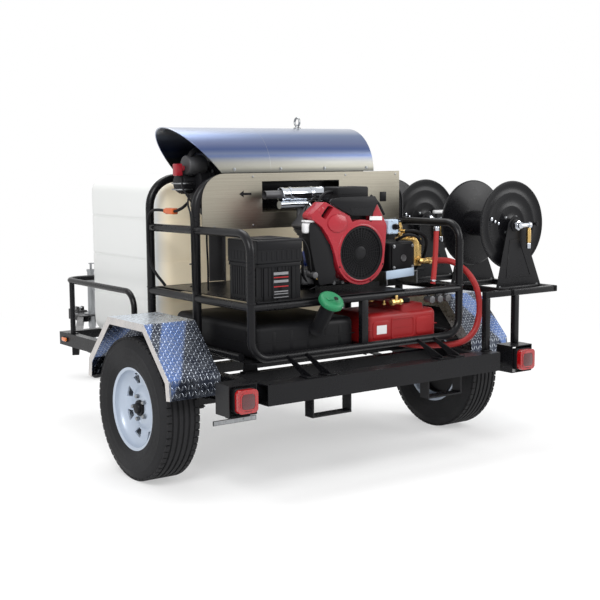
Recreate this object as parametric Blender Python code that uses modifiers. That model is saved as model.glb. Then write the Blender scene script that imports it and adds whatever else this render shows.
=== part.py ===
"""Trailer-mounted hot-water pressure washer: trailer, skid, engine, pump, heater, tanks and hose reels.

Metres, +Z up, +Y towards the hitch, +X to the trailer's right. Inside the script every place is measured
from the point on the ground under the middle of the axle; the datum empty moves the whole machine so that
the world origin lies under the middle of its outer box.
"""
import math

import bmesh
import bpy
from mathutils import Matrix, Vector

# ------------------------------------------------------------------ clearances
FIT = 0.0003              # gap between two seated faces
RUN = 0.0008              # radial gap at a turning or sliding fit
LAP = 0.003               # how far welded pieces run into each other
WELD = 0.00001            # distance under which points are one point
FLAT = math.radians(0.2)  # angle under which two faces are one face

# ------------------------------------------------------------------ wheels and running gear
WHEEL_OUT = 0.242         # wheel centre from the side rail's outer face
TYRE_R = 0.344
TYRE_W = 0.205
BEAD_R = 0.1905
FLANGE_R = 0.210
BEAD_HALF = 0.0760        # half the distance between the rim flanges
HUB_R = 0.045
HUB_INNER = 0.050         # how far the hub runs inboard of the wheel centre
HUB_FACE = 0.036
SPINDLE_R = 0.0157
LUG_CIRCLE_R = 0.0572
LUG_COUNT = 5
WINDOW_COUNT = 8
WHEEL_STEPS = 20
AXLE_TUBE = 0.050
AXLE_STUB = 0.067         # bare spindle between the axle box and the hub
SPRING_IN = 0.030         # spring centre from the side rail's outer face
SPRING_W = 0.045
SPRING_EYE_Y = 0.340
SPRING_RISE = 0.015
LEAF = 0.007
LEAF_REACHES = (0.340, 0.240, 0.140)
EYE_R = 0.016
EYE_BOLT_R = 0.008

# ------------------------------------------------------------------ trailer frame
RAIL_REACH = 0.710
RAIL_W = 0.050
RAIL_LOW = 0.435
RAIL_TOP = 0.510
FRAME_FRONT = 1.520
BEAM_REAR = -0.685
BEAM_DEPTH = 0.090
BEAM_LOW = 0.430
BEAM_TOP = 0.525
BEAM_REACH = RAIL_REACH + 0.010
BEAM_WALL = 0.006
CROSS_PLACES = (-0.300, 0.030, 0.360, 0.720, 1.100)
CROSS_SIZE = 0.050
LOOP_INNER = 0.240        # fork loops: nearest and farthest reach from the centre line
LOOP_OUTER = 0.465
LOOP_DROP = 0.090
LOOP_BAR = 0.008
LOOP_DEPTH = 0.060
TONGUE_W = 0.040
TONGUE_LOW = 0.385
TONGUE_TOP = 0.445
TONGUE_START_Y = 1.360
TONGUE_END_Y = 2.700
TONGUE_TIP_X = 0.030
LIGHT_IN = RAIL_REACH + 0.080          # tail-light boxes: inner and outer side
LIGHT_OUT = LIGHT_IN + 0.145
LIGHT_LOW = 0.410
LIGHT_TOP = 0.550
LIGHT_REAR = -0.700
LIGHT_DEPTH = 0.110
LIGHT_WALL = 0.005
LAMP_W = 0.108
LAMP_DEPTH = 0.070
MARKER_Y = 1.440

# ------------------------------------------------------------------ fenders
FENDER_IN = RAIL_REACH + 0.080
FENDER_OUT = FENDER_IN + 0.270
FENDER_TOP = 0.770
FENDER_FLAT = 0.180
FENDER_KNEE_Y = 0.400
FENDER_KNEE_Z = 0.540
FENDER_LOW = 0.450
SHEET = 0.003
SKIRT = 0.035

# ------------------------------------------------------------------ hitch and jack
COUPLER_NOSE = 2.880
COUPLER_HALF = 0.040
BALL_R = 0.0254
JACK_Y = 2.550
JACK_R = 0.0265
JACK_WALL = 0.003
JACK_TOP = 0.760
JACK_LOW = 0.360
JACK_LEG_R = JACK_R - JACK_WALL - RUN
JACK_WHEEL_R = 0.078
JACK_WHEEL_W = 0.040
CASTER_TRAIL = 0.040

# ------------------------------------------------------------------ guard rail and skid frame
GUARD_R = 0.016
GUARD_X = RAIL_REACH - RAIL_W / 2
GUARD_TOP = 0.820
GUARD_FRONT = 1.475
GUARD_REAR = 0.620
GUARD_BEND = 0.090
SKID_R = 0.020
SKID_X = 0.650
SKID_REAR = -0.450
SKID_FRONT = 0.490
SKID_BASE = 0.597
SHELF_ROOM = 0.0414       # from the top of the fuel can to the shelf tubes
SKID_RAIL = 1.180
SKID_BEND = 0.090
ARCH_R = 0.022
ARCH_REAR_Y = 0.030
ARCH_TOP = 1.420
ARCH_BEND = 0.150
FOOT_PLACES = (-0.560, 0.560)
GUSSET_PLACES = (-0.460, -0.350, 0.350, 0.460)
PAN = 0.004               # thickness of the skid's floor pan and deck plate
DECK_REACH = 0.625
NOTCH_X = 0.270           # the deck is cut away beyond here, over the fuel can's cap
NOTCH_Y = -0.280
RISER_H = 0.026           # the two bars on the deck that the engine stands on
RISER_W = 0.040
RISER_REACH = 0.190

# ------------------------------------------------------------------ tanks and battery
TANK_X = 0.560
TANK_REAR = 0.550
TANK_FRONT = 1.410
TANK_TOP = 1.420
TANK_WALL = 0.008
TANK_NECK_R = 0.090
TANK_NECK_H = 0.030
OUTLET_X = 0.430           # the water tank's outlet, where the suction hose starts
OUTLET_Y = 0.530
DIESEL_LEFT = -0.604
DIESEL_RIGHT = -0.020
DIESEL_REAR = -0.415
DIESEL_FRONT = 0.330
TANK_LOW_H = 0.165        # height of both low fuel tanks
DIESEL_NECK_X = -0.252
NECK_R = 0.036
NECK_TILT = math.radians(37.0)
NECK_LENGTH = 0.228
DIESEL_CAP_R = 0.072
FUEL_LEFT = 0.070
FUEL_RIGHT = 0.530
FUEL_REAR = -0.410
FUEL_FRONT = -0.110
FUEL_HUMP_LEFT = 0.195
FUEL_HUMP_RIGHT = 0.410
FUEL_HUMP_H = 0.032
FUEL_CAP_X = 0.350
FUEL_CAP_Y = -0.345
FUEL_CAP_R = 0.040
FUEL_NECK_R = 0.026
FUEL_WALL = 0.005
CASE_LEFT = -0.590
CASE_RIGHT = -0.350
CASE_REAR = -0.420
CASE_FRONT = -0.180
CASE_H = 0.1707           # from the deck to where the battery lid meets its case
LID_H = 0.110
LID_BRIM = 0.008
CASE_WALL = 0.004

# ------------------------------------------------------------------ engine
CRANK_X = 0.058
CRANK_RISE = 0.1877       # from the deck to the crankshaft
ENGINE_REAR = -0.300
ENGINE_FRONT = -0.060
CASE_HALF = 0.140
SHROUD_REAR = -0.375
FAN_R = 0.130
CRANK_R = 0.018
BANK_ANGLE = math.radians(45.0)
BANK_REACH = 0.262
FIN_COUNT = 3
CLEANER_RISE = 0.254      # from the crankshaft to the underside of the air cleaner
CLEANER_H = 0.072
CLEANER_REAR = -0.345
CLEANER_FRONT = -0.220
CLEANER_LEFT = -0.062
CLEANER_RIGHT = 0.130
MUFFLER_Y = -0.060
MUFFLER_RISE = 0.287      # from the crankshaft to the muffler
PORT_R = 0.018
MUFFLER_R = 0.037
MUFFLER_LEFT = -0.211
MUFFLER_RIGHT = 0.050
TAILPIPE_R = 0.021
TAILPIPE_REACH = 0.095
FILTER_R = 0.038

# ------------------------------------------------------------------ pump and belt drive
PUMP_LEFT = 0.330
PUMP_RIGHT = 0.500
PUMP_REAR = -0.270
PUMP_FRONT = -0.100
PUMP_RISE = 0.0657        # from the deck to the underside of the pump
PUMP_H = 0.155
PUMP_SHAFT_X = 0.450
PUMP_SHAFT_RISE = 0.055   # from the underside of the pump to its shaft
PUMP_SHAFT_R = 0.014
MANIFOLD_W = 0.055
DRIVE_R = 0.045
DRIVEN_R = 0.075
BELT_W = 0.030
BELT_T = 0.008
BELT_Y = -0.018
GUARD_WALL = 0.003
HOSE_R = 0.016
HOSE_SWING = 0.145        # how far the hose swings out beyond the skid's side

# ------------------------------------------------------------------ heater
HEATER_Y = 0.260
HEATER_Z = 1.400
HEATER_R = 0.175
HEATER_LEFT = -0.450
HEATER_RIGHT = 0.450
HEATER_WALL = 0.004
SHELL_STEPS = 20
LUG_T = 0.006
LUG_X = 0.280
COIL_R = 0.130
COIL_TUBE_R = 0.012
COIL_TURNS = 5
COIL_POINTS = 8
HOOD_R = 0.228
HOOD_SHEET = 0.003
HOOD_RIGHT = 0.470
HOOD_LEFT_LOW = -0.495
HOOD_LEFT_TOP = -0.700
EYE_X = 0.128
PANEL_LEFT = -0.628
PANEL_CORNER = 0.130
PANEL_RIGHT = 0.628
PANEL_LOW = 1.170
PANEL_TOP = 1.447
PANEL_T = 0.003
WINDOW_LEFT = -0.275
WINDOW_RIGHT = 0.213
WINDOW_LOW = 1.250
WINDOW_TOP = 1.405

# ------------------------------------------------------------------ hose reels
REEL_X = 1.000
REEL_Z = 1.157
REEL_R = 0.235
REEL_HALF = 0.145
REEL_DRUM_R = 0.070
REEL_SHEET = 0.003
REEL_SHAFT_R = 0.016
REEL_STEPS = 22
REEL_PLACES = (-0.333, 0.353)
STAND_GAP = 0.028         # from a reel disc to its carrying plate
STAND_PLATE = 0.005
STAND_TUBE = 0.032
STAND_TOP = 0.832
STAND_REAR = -0.626
STAND_FRONT = 0.566
STAND_RIGHT = 1.205
STAND_LEFT = 0.865
POST_IN = 0.690
POST_OUT = 0.900

# ------------------------------------------------------------------ derived places
WHEEL_X = RAIL_REACH + WHEEL_OUT
SPRING_X = RAIL_REACH - SPRING_IN
REACH_LEFT = -FENDER_OUT
REACH_RIGHT = REEL_X + REEL_R
REACH_REAR = LIGHT_REAR - 0.045
AXLE_REACH = WHEEL_X - HUB_INNER - AXLE_STUB
PAN_LOW = SKID_BASE - SKID_R + FIT
PAN_TOP = PAN_LOW + PAN
SKID_SHELF = PAN_TOP + FIT + TANK_LOW_H + FUEL_HUMP_H + SHELF_ROOM + SKID_R
DECK_TOP = SKID_SHELF + SKID_R + FIT + PAN
CASE_LIP = DECK_TOP + CASE_H
CASE_TOP = CASE_LIP + LID_H
CRANK_Z = DECK_TOP + CRANK_RISE
CLEANER_LOW = CRANK_Z + CLEANER_RISE
CLEANER_TOP = CLEANER_LOW + CLEANER_H
MUFFLER_Z = CRANK_Z + MUFFLER_RISE
PUMP_LOW = DECK_TOP + PUMP_RISE
PUMP_TOP = PUMP_LOW + PUMP_H
PUMP_SHAFT_Z = PUMP_LOW + PUMP_SHAFT_RISE
LUG_LOW = ARCH_TOP + ARCH_R + FIT
HOOD_BASE = LUG_LOW + LUG_T + FIT

TURN_TO = {"X": (0.0, math.pi / 2, 0.0), "Y": (-math.pi / 2, 0.0, 0.0), "Z": (0.0, 0.0, 0.0)}
LIE_IN = {"XY": (0.0, 0.0, 0.0), "XZ": (math.pi / 2, 0.0, 0.0), "YZ": (math.pi / 2, 0.0, math.pi / 2)}


# ------------------------------------------------------------------ scene and materials
for old in list(bpy.data.objects):
    bpy.data.objects.remove(old, do_unlink=True)

PARTS = bpy.data.collections.new("pressure_washer")
CUTTERS = bpy.data.collections.new("cutters")
bpy.context.scene.collection.children.link(PARTS)
bpy.context.scene.collection.children.link(CUTTERS)

DATUM = bpy.data.objects.new("datum", None)
DATUM.location = (-0.5 * (REACH_LEFT + REACH_RIGHT), -0.5 * (REACH_REAR + COUPLER_NOSE), 0.0)
PARTS.objects.link(DATUM)


def material(name, colour, roughness, metallic=0.0):
    made = bpy.data.materials.new(name)
    made.use_nodes = True
    shader = made.node_tree.nodes["Principled BSDF"]
    shader.inputs["Base Color"].default_value = (*colour, 1.0)
    shader.inputs["Roughness"].default_value = roughness
    shader.inputs["Metallic"].default_value = metallic
    return made


BLACK_PAINT = material("black_paint", (0.015, 0.015, 0.017), 0.35)
WHITE_PAINT = material("white_paint", (0.80, 0.81, 0.82), 0.35)
RUBBER = material("tyre_rubber", (0.02, 0.02, 0.02), 0.85)
TREAD_PLATE = material("tread_plate", (0.62, 0.66, 0.72), 0.30, 1.0)
ZINC = material("zinc_plate", (0.60, 0.62, 0.62), 0.35, 1.0)
STAINLESS = material("brushed_stainless", (0.62, 0.58, 0.52), 0.30, 1.0)
MIRROR_STEEL = material("polished_stainless", (0.72, 0.76, 0.82), 0.10, 1.0)
WHITE_POLY = material("white_polyethylene", (0.82, 0.82, 0.79), 0.45)
BLACK_POLY = material("black_polyethylene", (0.02, 0.02, 0.022), 0.50)
RED_POLY = material("red_polyethylene", (0.34, 0.02, 0.02), 0.40)
RED_COVER = material("red_engine_cover", (0.50, 0.03, 0.05), 0.30)
GREEN_CAP = material("green_cap", (0.04, 0.32, 0.14), 0.45)
GREY_CAST = material("grey_casting", (0.20, 0.20, 0.21), 0.55, 0.6)
BLACK_CAST = material("black_casting", (0.02, 0.02, 0.022), 0.45, 0.3)
BRASS = material("brass", (0.62, 0.44, 0.16), 0.30, 1.0)
CHROME = material("chrome", (0.75, 0.76, 0.78), 0.12, 1.0)
BLUE_PAINT = material("blue_paint", (0.02, 0.05, 0.30), 0.35)
RED_LENS = material("red_lens", (0.45, 0.02, 0.02), 0.15)
AMBER_LENS = material("amber_lens", (0.70, 0.16, 0.01), 0.15)
RED_HOSE = material("red_hose", (0.48, 0.04, 0.04), 0.45)
BELT_RUBBER = material("belt_rubber", (0.02, 0.02, 0.02), 0.75)
PALE_PLATE = material("pale_plate", (0.45, 0.55, 0.66), 0.40)


# ------------------------------------------------------------------ building tools
def place(body, centre, turn=(0.0, 0.0, 0.0)):
    """Make a mesh object from a bmesh, at its place among the cutters until it is finished."""
    mesh = bpy.data.meshes.new("piece")
    body.to_mesh(mesh)
    body.free()
    made = bpy.data.objects.new("piece", mesh)
    made.location = centre
    made.rotation_euler = turn
    made.hide_render = True
    made.display_type = "WIRE"
    CUTTERS.objects.link(made)
    return made


def settle(source):
    """Give an object's evaluated shape a closed mesh of its own, with its faces pointing out."""
    bpy.context.view_layer.update()
    shape = source.evaluated_get(bpy.context.evaluated_depsgraph_get())
    mesh = bpy.data.meshes.new_from_object(shape)
    body = bmesh.new()
    body.from_mesh(mesh)
    bpy.data.meshes.remove(mesh)
    bmesh.ops.remove_doubles(body, verts=body.verts, dist=WELD)
    bmesh.ops.recalc_face_normals(body, faces=body.faces)
    if body.calc_volume(signed=True) < 0.0:
        bmesh.ops.reverse_faces(body, faces=body.faces)
    made = place(body, (0.0, 0.0, 0.0))
    made.matrix_world = source.matrix_world.copy()
    bpy.data.objects.remove(source, do_unlink=True)
    return made


def box(size, centre, rounding=0.0, segments=2, turn=(0.0, 0.0, 0.0)):
    body = bmesh.new()
    bmesh.ops.create_cube(body, size=1.0)
    bmesh.ops.scale(body, vec=size, verts=body.verts)
    if rounding > 0.0:
        edges = body.edges[:]
        bmesh.ops.bevel(body, geom=edges, offset=rounding, segments=segments, profile=0.5, affect="EDGES")
    return place(body, centre, turn)


def block(low, high, rounding=0.0, segments=2):
    """A box given by its lowest and highest corners."""
    low = Vector(low)
    high = Vector(high)
    return box(high - low, (low + high) / 2, rounding, segments)


def rod(radius, length, centre, axis="Z", sides=16, end_radius=None, turn=None):
    body = bmesh.new()
    far = radius if end_radius is None else end_radius
    bmesh.ops.create_cone(body, cap_ends=True, segments=sides, radius1=radius, radius2=far, depth=length)
    return place(body, centre, turn or TURN_TO[axis])


def turned(profile, centre, axis="Z", steps=24, closed=False):
    """A turned shape from (radius, height) points that run down its outer side."""
    body = bmesh.new()
    points = [body.verts.new((radius, 0.0, height)) for radius, height in profile]
    for first, second in zip(points, points[1:]):
        body.edges.new((first, second))
    if closed:
        body.edges.new((points[-1], points[0]))
    made = place(body, centre, TURN_TO[axis])
    screw = made.modifiers.new("turning", "SCREW")
    screw.steps = steps
    screw.render_steps = steps
    screw.use_merge_vertices = True
    screw.merge_threshold = WELD
    return settle(made)


def curve_object(dimensions, splines, closed):
    data = bpy.data.curves.new("route", "CURVE")
    data.dimensions = dimensions
    for points in splines:
        spline = data.splines.new("POLY")
        spline.points.add(len(points) - 1)
        for point, spot in zip(spline.points, points):
            point.co = (*spot, 0.0, 1.0) if len(spot) == 2 else (*spot, 1.0)
        spline.use_cyclic_u = closed
    made = bpy.data.objects.new("route", data)
    CUTTERS.objects.link(made)
    return made


def pipe(points, radius, detail=2, closed=False):
    """A round tube along a list of points."""
    made = curve_object("3D", [points], closed)
    made.data.bevel_depth = radius
    made.data.bevel_resolution = detail
    made.data.use_fill_caps = not closed
    return settle(made)


def plate(outlines, thickness, centre=(0.0, 0.0, 0.0), plane="XY"):
    """A flat plate cut to its outlines; a second outline inside the first is a hole."""
    made = curve_object("2D", outlines, True)
    made.data.fill_mode = "BOTH"
    made.data.extrude = thickness / 2
    made.location = centre
    made.rotation_euler = LIE_IN[plane]
    return settle(made)


def combine(target, tool, operation):
    cutter = target.modifiers.new(operation.lower(), "BOOLEAN")
    cutter.operation = operation
    cutter.solver = "EXACT"
    cutter.object = tool
    bpy.context.view_layer.update()
    shape = target.evaluated_get(bpy.context.evaluated_depsgraph_get())
    shaped = bpy.data.meshes.new_from_object(shape)
    target.modifiers.clear()
    target.data = shaped
    bpy.data.objects.remove(tool, do_unlink=True)


def fuse(target, *pieces):
    for piece in pieces:
        combine(target, piece, "UNION")
    return target


def cut(target, *tools):
    for tool in tools:
        combine(target, tool, "DIFFERENCE")
    return target


def finish(piece, name, surface, pivot=(0.0, 0.0, 0.0)):
    """Name a piece, give it its material and put its origin on its pivot."""
    bpy.context.view_layer.update()
    body = bmesh.new()
    body.from_mesh(piece.data)
    bmesh.ops.dissolve_limit(body, angle_limit=FLAT, verts=body.verts, edges=body.edges)
    body.to_mesh(piece.data)
    body.free()
    piece.data.transform(Matrix.Translation(-Vector(pivot)) @ piece.matrix_world)
    piece.matrix_world = Matrix.Identity(4)
    piece.location = pivot
    piece.name = name
    piece.data.name = name
    piece.hide_render = False
    piece.display_type = "TEXTURED"
    piece.data.materials.clear()
    piece.data.materials.append(surface)
    piece.data.shade_smooth()
    piece.data.set_sharp_from_angle(angle=math.radians(35.0))
    CUTTERS.objects.unlink(piece)
    PARTS.objects.link(piece)
    piece.parent = DATUM
    return piece


def rectangle(left, low, right, top):
    return [(left, low), (right, low), (right, top), (left, top)]


def arc(centre, radius, start, end, steps):
    """Points on an arc, angles in degrees from the first axis of the plane."""
    angles = [math.radians(start + (end - start) * step / steps) for step in range(steps + 1)]
    return [(centre[0] + radius * math.cos(a), centre[1] + radius * math.sin(a)) for a in angles]


def ring(centre, radius, sides):
    return arc(centre, radius, 0.0, 360.0 * (sides - 1) / sides, sides - 1)


def bent(corners, bend, steps=3):
    """Points along straight runs that are joined by round bends."""
    corners = [Vector(corner) for corner in corners]
    route = [corners[0]]
    for before, corner, after in zip(corners, corners[1:], corners[2:]):
        back = (before - corner).normalized()
        ahead = (after - corner).normalized()
        half = back.angle(ahead) / 2
        centre = corner + (back + ahead).normalized() * (bend / math.sin(half))
        start = corner + back * (bend / math.tan(half)) - centre
        axis = start.cross(corner + ahead * (bend / math.tan(half)) - centre)
        sweep = math.pi - 2 * half
        route += [centre + Matrix.Rotation(sweep * step / steps, 3, axis) @ start for step in range(steps + 1)]
    return route + [corners[-1]]


def band(points, depth):
    """The closed outline of a strip of one depth, laid along the right-hand side of a line of points."""
    points = [Vector(point) for point in points]
    inner = []
    for index, point in enumerate(points):
        before = points[max(index - 1, 0)]
        after = points[min(index + 1, len(points) - 1)]
        first = (point - before).normalized() if index else (after - point).normalized()
        second = (after - point).normalized() if index < len(points) - 1 else first
        normal = Vector((first.y + second.y, -first.x - second.x)).normalized()
        reach = depth / normal.dot(Vector((first.y, -first.x)))
        inner.append(point + normal * reach)
    return [tuple(point) for point in points] + [tuple(point) for point in reversed(inner)]


def smooth_route(knots, count):
    """Points on one smooth curve through the knots."""
    knots = [Vector(knot) for knot in knots]
    ends = [2 * knots[0] - knots[1]] + knots + [2 * knots[-1] - knots[-2]]
    route = []
    for step in range(count + 1):
        place_on = min(step / count * (len(knots) - 1), len(knots) - 1 - 1e-9)
        index = int(place_on)
        t = place_on - index
        a, b, c, d = ends[index:index + 4]
        route.append(0.5 * (2 * b + (c - a) * t + (2 * a - 5 * b + 4 * c - d) * t * t
                            + (3 * b - a - 3 * c + d) * t ** 3))
    return route


# ------------------------------------------------------------------ trailer frame
def make_trailer_frame():
    beam_front = BEAM_REAR + BEAM_DEPTH
    outer = rectangle(BEAM_REAR, BEAM_LOW, beam_front, BEAM_TOP)
    inner = rectangle(BEAM_REAR + BEAM_WALL, BEAM_LOW + BEAM_WALL, beam_front - BEAM_WALL, BEAM_TOP - BEAM_WALL)
    frame = plate([outer, inner], 2 * BEAM_REACH, plane="YZ")
    for side in (-1, 1):
        rail_x = side * (RAIL_REACH - RAIL_W / 2)
        rail_size = (RAIL_W, FRAME_FRONT - beam_front + LAP, RAIL_TOP - RAIL_LOW)
        rail_middle = (rail_x, (FRAME_FRONT + beam_front - LAP) / 2, (RAIL_TOP + RAIL_LOW) / 2)
        fuse(frame, box(rail_size, rail_middle))
    span = RAIL_REACH - RAIL_W + LAP
    for y in CROSS_PLACES + (FRAME_FRONT - CROSS_SIZE / 2,):
        low = (-span, y - CROSS_SIZE / 2, RAIL_TOP - CROSS_SIZE)
        high = (span, y + CROSS_SIZE / 2, RAIL_TOP)
        fuse(frame, block(low, high))
    for side in (-1, 1):
        fuse(frame, tongue_leg(side), fork_loop(side), *spring_hangers(side), *fender_arms(side))
        fuse(frame, lamp_box(side))
    tip_low = (-TONGUE_TIP_X - TONGUE_W / 2, TONGUE_END_Y - 0.080, TONGUE_LOW - 0.001)
    tip_high = (TONGUE_TIP_X + TONGUE_W / 2, TONGUE_END_Y, TONGUE_TOP + 0.001)
    fuse(frame, block(tip_low, tip_high))
    jack_plate = block((-0.120, JACK_Y - 0.080, TONGUE_TOP - LAP), (0.120, JACK_Y + 0.090, TONGUE_TOP + LAP))
    cut(jack_plate, rod(JACK_R + RUN, 0.100, (0.0, JACK_Y, TONGUE_TOP)))
    fuse(frame, jack_plate)
    fuse(frame, plate_bar())
    finish(frame, "trailer_frame", BLACK_PAINT)


def tongue_leg(side):
    start = Vector((side * (RAIL_REACH - RAIL_W / 2), TONGUE_START_Y))
    end = Vector((side * TONGUE_TIP_X, TONGUE_END_Y - TONGUE_W))
    run = end - start
    middle = (start + end) / 2
    size = (TONGUE_W, run.length, TONGUE_TOP - TONGUE_LOW)
    angle = -math.atan2(run.x, run.y)
    return box(size, (middle.x, middle.y, (TONGUE_TOP + TONGUE_LOW) / 2), turn=(0.0, 0.0, angle))


def fork_loop(side):
    """A flat-bar loop under the rear beam that takes one lift-truck tine."""
    low = BEAM_LOW - LOOP_DROP
    left, right = sorted((side * LOOP_INNER, side * LOOP_OUTER))
    line = [(left, BEAM_LOW + LAP), (left, low), (right, low), (right, BEAM_LOW + LAP)]
    return plate([band(line, -LOOP_BAR)], LOOP_DEPTH, (0.0, BEAM_REAR + BEAM_DEPTH / 2, 0.0), "XZ")


def spring_hangers(side):
    """Two pairs of ears with the bolts that carry the leaf spring's eyes."""
    eye_z = spring_line(SPRING_EYE_Y)
    half = SPRING_W / 2 + FIT
    ear = 0.005
    pieces = []
    for y in (-SPRING_EYE_Y, SPRING_EYE_Y):
        top = block((side * SPRING_X - half - ear - 0.001, y - 0.025, RAIL_LOW - 0.006),
                    (side * SPRING_X + half + ear + 0.001, y + 0.025, RAIL_LOW + LAP))
        for edge in (-1, 1):
            inner = side * SPRING_X + edge * half
            low_x, high_x = sorted((inner, inner + edge * ear))
            fuse(top, block((low_x, y - 0.018, eye_z - 0.018), (high_x, y + 0.018, RAIL_LOW - LAP)))
        fuse(top, rod(EYE_BOLT_R, 2 * (half + ear + 0.006), (side * SPRING_X, y, eye_z), "X", 10))
        pieces.append(top)
    return pieces


def fender_arms(side):
    pieces = []
    for y in (-FENDER_KNEE_Y + SKIRT, FENDER_KNEE_Y - SKIRT):
        low_x, high_x = sorted((side * (RAIL_REACH - LAP), side * (FENDER_IN - FIT)))
        pieces.append(block((low_x, y - 0.020, FENDER_LOW + 0.010), (high_x, y + 0.020, FENDER_LOW + 0.040)))
    return pieces


def lamp_box(side):
    """The open box at the beam's end that holds a tail light."""
    low = (min(side * LIGHT_IN, side * LIGHT_OUT), LIGHT_REAR, LIGHT_LOW)
    high = (max(side * LIGHT_IN, side * LIGHT_OUT), LIGHT_REAR + LIGHT_DEPTH, LIGHT_TOP)
    shell = block(low, high)
    wall = LIGHT_WALL
    cut(shell, block((low[0] + wall, low[1] - 1.0, low[2] + wall), (high[0] - wall, high[1] + 1.0, high[2] - wall)))
    arm_low, arm_high = sorted((side * (BEAM_REACH - 0.020), side * (LIGHT_IN + LIGHT_WALL / 2)))
    arm_front = BEAM_REAR + BEAM_DEPTH - 0.001
    arm = block((arm_low, arm_front - BEAM_WALL - LAP, BEAM_LOW + 0.020), (arm_high, arm_front, BEAM_TOP - 0.012))
    return fuse(shell, arm)


# ------------------------------------------------------------------ running gear
def make_axle():
    axle = box((2 * AXLE_REACH, AXLE_TUBE, AXLE_TUBE), (0.0, 0.0, TYRE_R), 0.004, 1)
    hub_end = WHEEL_X - HUB_INNER
    for side in (-1, 1):
        collar = hub_end - FIT - AXLE_REACH + LAP
        fuse(axle, rod(0.023, collar, (side * (hub_end - FIT - collar / 2), 0.0, TYRE_R), "X", 16))
        pin = WHEEL_X + HUB_FACE - 0.006 - hub_end + LAP
        fuse(axle, rod(SPINDLE_R, pin, (side * (hub_end + pin / 2 - LAP), 0.0, TYRE_R), "X", 16))
    finish(axle, "axle_beam", BLACK_PAINT)


def spring_line(y):
    """Height of the main leaf's middle at a distance along the spring."""
    centre = TYRE_R + AXLE_TUBE / 2 + FIT + (len(LEAF_REACHES) - 0.5) * LEAF
    return centre + SPRING_RISE * (y / SPRING_EYE_Y) ** 2


def make_leaf_spring(side, name):
    steps = 4
    spring = None
    for level, reach in enumerate(LEAF_REACHES):
        places = [reach * (2 * step / steps - 1) for step in range(steps + 1)]
        top = LEAF / 2 - level * LEAF
        drop = top - LEAF - (LEAF / 20 if level < len(LEAF_REACHES) - 1 else 0.0)
        line = [(y, spring_line(y) + top) for y in places]
        line += [(y, spring_line(y) + drop) for y in reversed(places)]
        leaf = plate([line], SPRING_W, (side * SPRING_X, 0.0, 0.0), "YZ")
        spring = leaf if spring is None else fuse(spring, leaf)
    for y in (-SPRING_EYE_Y, SPRING_EYE_Y):
        fuse(spring, rod(EYE_R, SPRING_W, (side * SPRING_X, y, spring_line(y)), "X", 12))
        cut(spring, rod(EYE_BOLT_R + RUN, SPRING_W * 2, (side * SPRING_X, y, spring_line(y)), "X", 10))
    under = TYRE_R - AXLE_TUBE / 2 - FIT
    clamp_y = AXLE_TUBE / 2 + 0.008
    plate_half = SPRING_W / 2
    low = (side * SPRING_X - plate_half, -clamp_y - 0.010, under - 0.006)
    fuse(spring, block(low, (side * SPRING_X + plate_half, clamp_y + 0.010, under)))
    for y in (-clamp_y, clamp_y):
        fuse(spring, box((0.036, 0.010, AXLE_TUBE + 0.034), (side * SPRING_X, y, TYRE_R + 0.004)))
    finish(spring, name, BLACK_PAINT)


def make_tyre(side, name):
    half = TYRE_W / 2
    right = [(TYRE_R, half - 0.038), (TYRE_R - 0.010, half - 0.016), (TYRE_R - 0.035, half - 0.003), (0.262, half),
             (FLANGE_R + 0.003, BEAD_HALF + 0.004), (BEAD_R + FIT, BEAD_HALF - 2 * FIT)]
    left = [(radius, -height) for radius, height in reversed(right)]
    tyre = turned(left + right, (side * WHEEL_X, 0.0, TYRE_R), "X", WHEEL_STEPS, True)
    finish(tyre, name, RUBBER, (side * WHEEL_X, 0.0, TYRE_R))


def make_rim(side, name):
    """A white spoke rim with its hub, dust cap, nuts and windows."""
    wall_r = BEAD_R - 0.005
    profile = [(0.000, 0.066), (0.030, 0.062), (0.034, HUB_FACE), (0.072, HUB_FACE), (0.104, 0.018),
               (0.150, 0.024), (wall_r, 0.050), (wall_r, BEAD_HALF + 0.003),
               (FLANGE_R, BEAD_HALF + 0.006), (BEAD_R, BEAD_HALF), (BEAD_R, -BEAD_HALF),
               (FLANGE_R, -BEAD_HALF - 0.006), (wall_r, -BEAD_HALF - 0.003), (wall_r, 0.036), (0.150, 0.018),
               (0.104, 0.012), (HUB_R, 0.024), (HUB_R, -HUB_INNER), (SPINDLE_R + RUN, -HUB_INNER),
               (SPINDLE_R + RUN, HUB_FACE), (0.000, HUB_FACE + 0.004)]
    profile = [(radius, side * height) for radius, height in profile]
    centre = Vector((side * WHEEL_X, 0.0, TYRE_R))
    rim = turned(profile, centre, "X", WHEEL_STEPS)
    for index in range(WINDOW_COUNT):
        angle = 360.0 * (index + 0.5) / WINDOW_COUNT
        window = arc((0.0, 0.0), 0.116, angle - 9.0, angle + 9.0, 1) + arc((0.0, 0.0), 0.166, angle + 12.0, angle - 12.0, 1)
        cut(rim, plate([window], 0.080, centre + Vector((side * 0.030, 0.0, 0.0)), "YZ"))
    for index in range(LUG_COUNT):
        angle = 2 * math.pi * (index + 0.25) / LUG_COUNT
        spot = Vector((side * (HUB_FACE + 0.007), LUG_CIRCLE_R * math.cos(angle), LUG_CIRCLE_R * math.sin(angle)))
        fuse(rim, rod(0.011, 0.018, centre + spot, "X", 6))
    finish(rim, name, WHITE_PAINT, centre)


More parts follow.
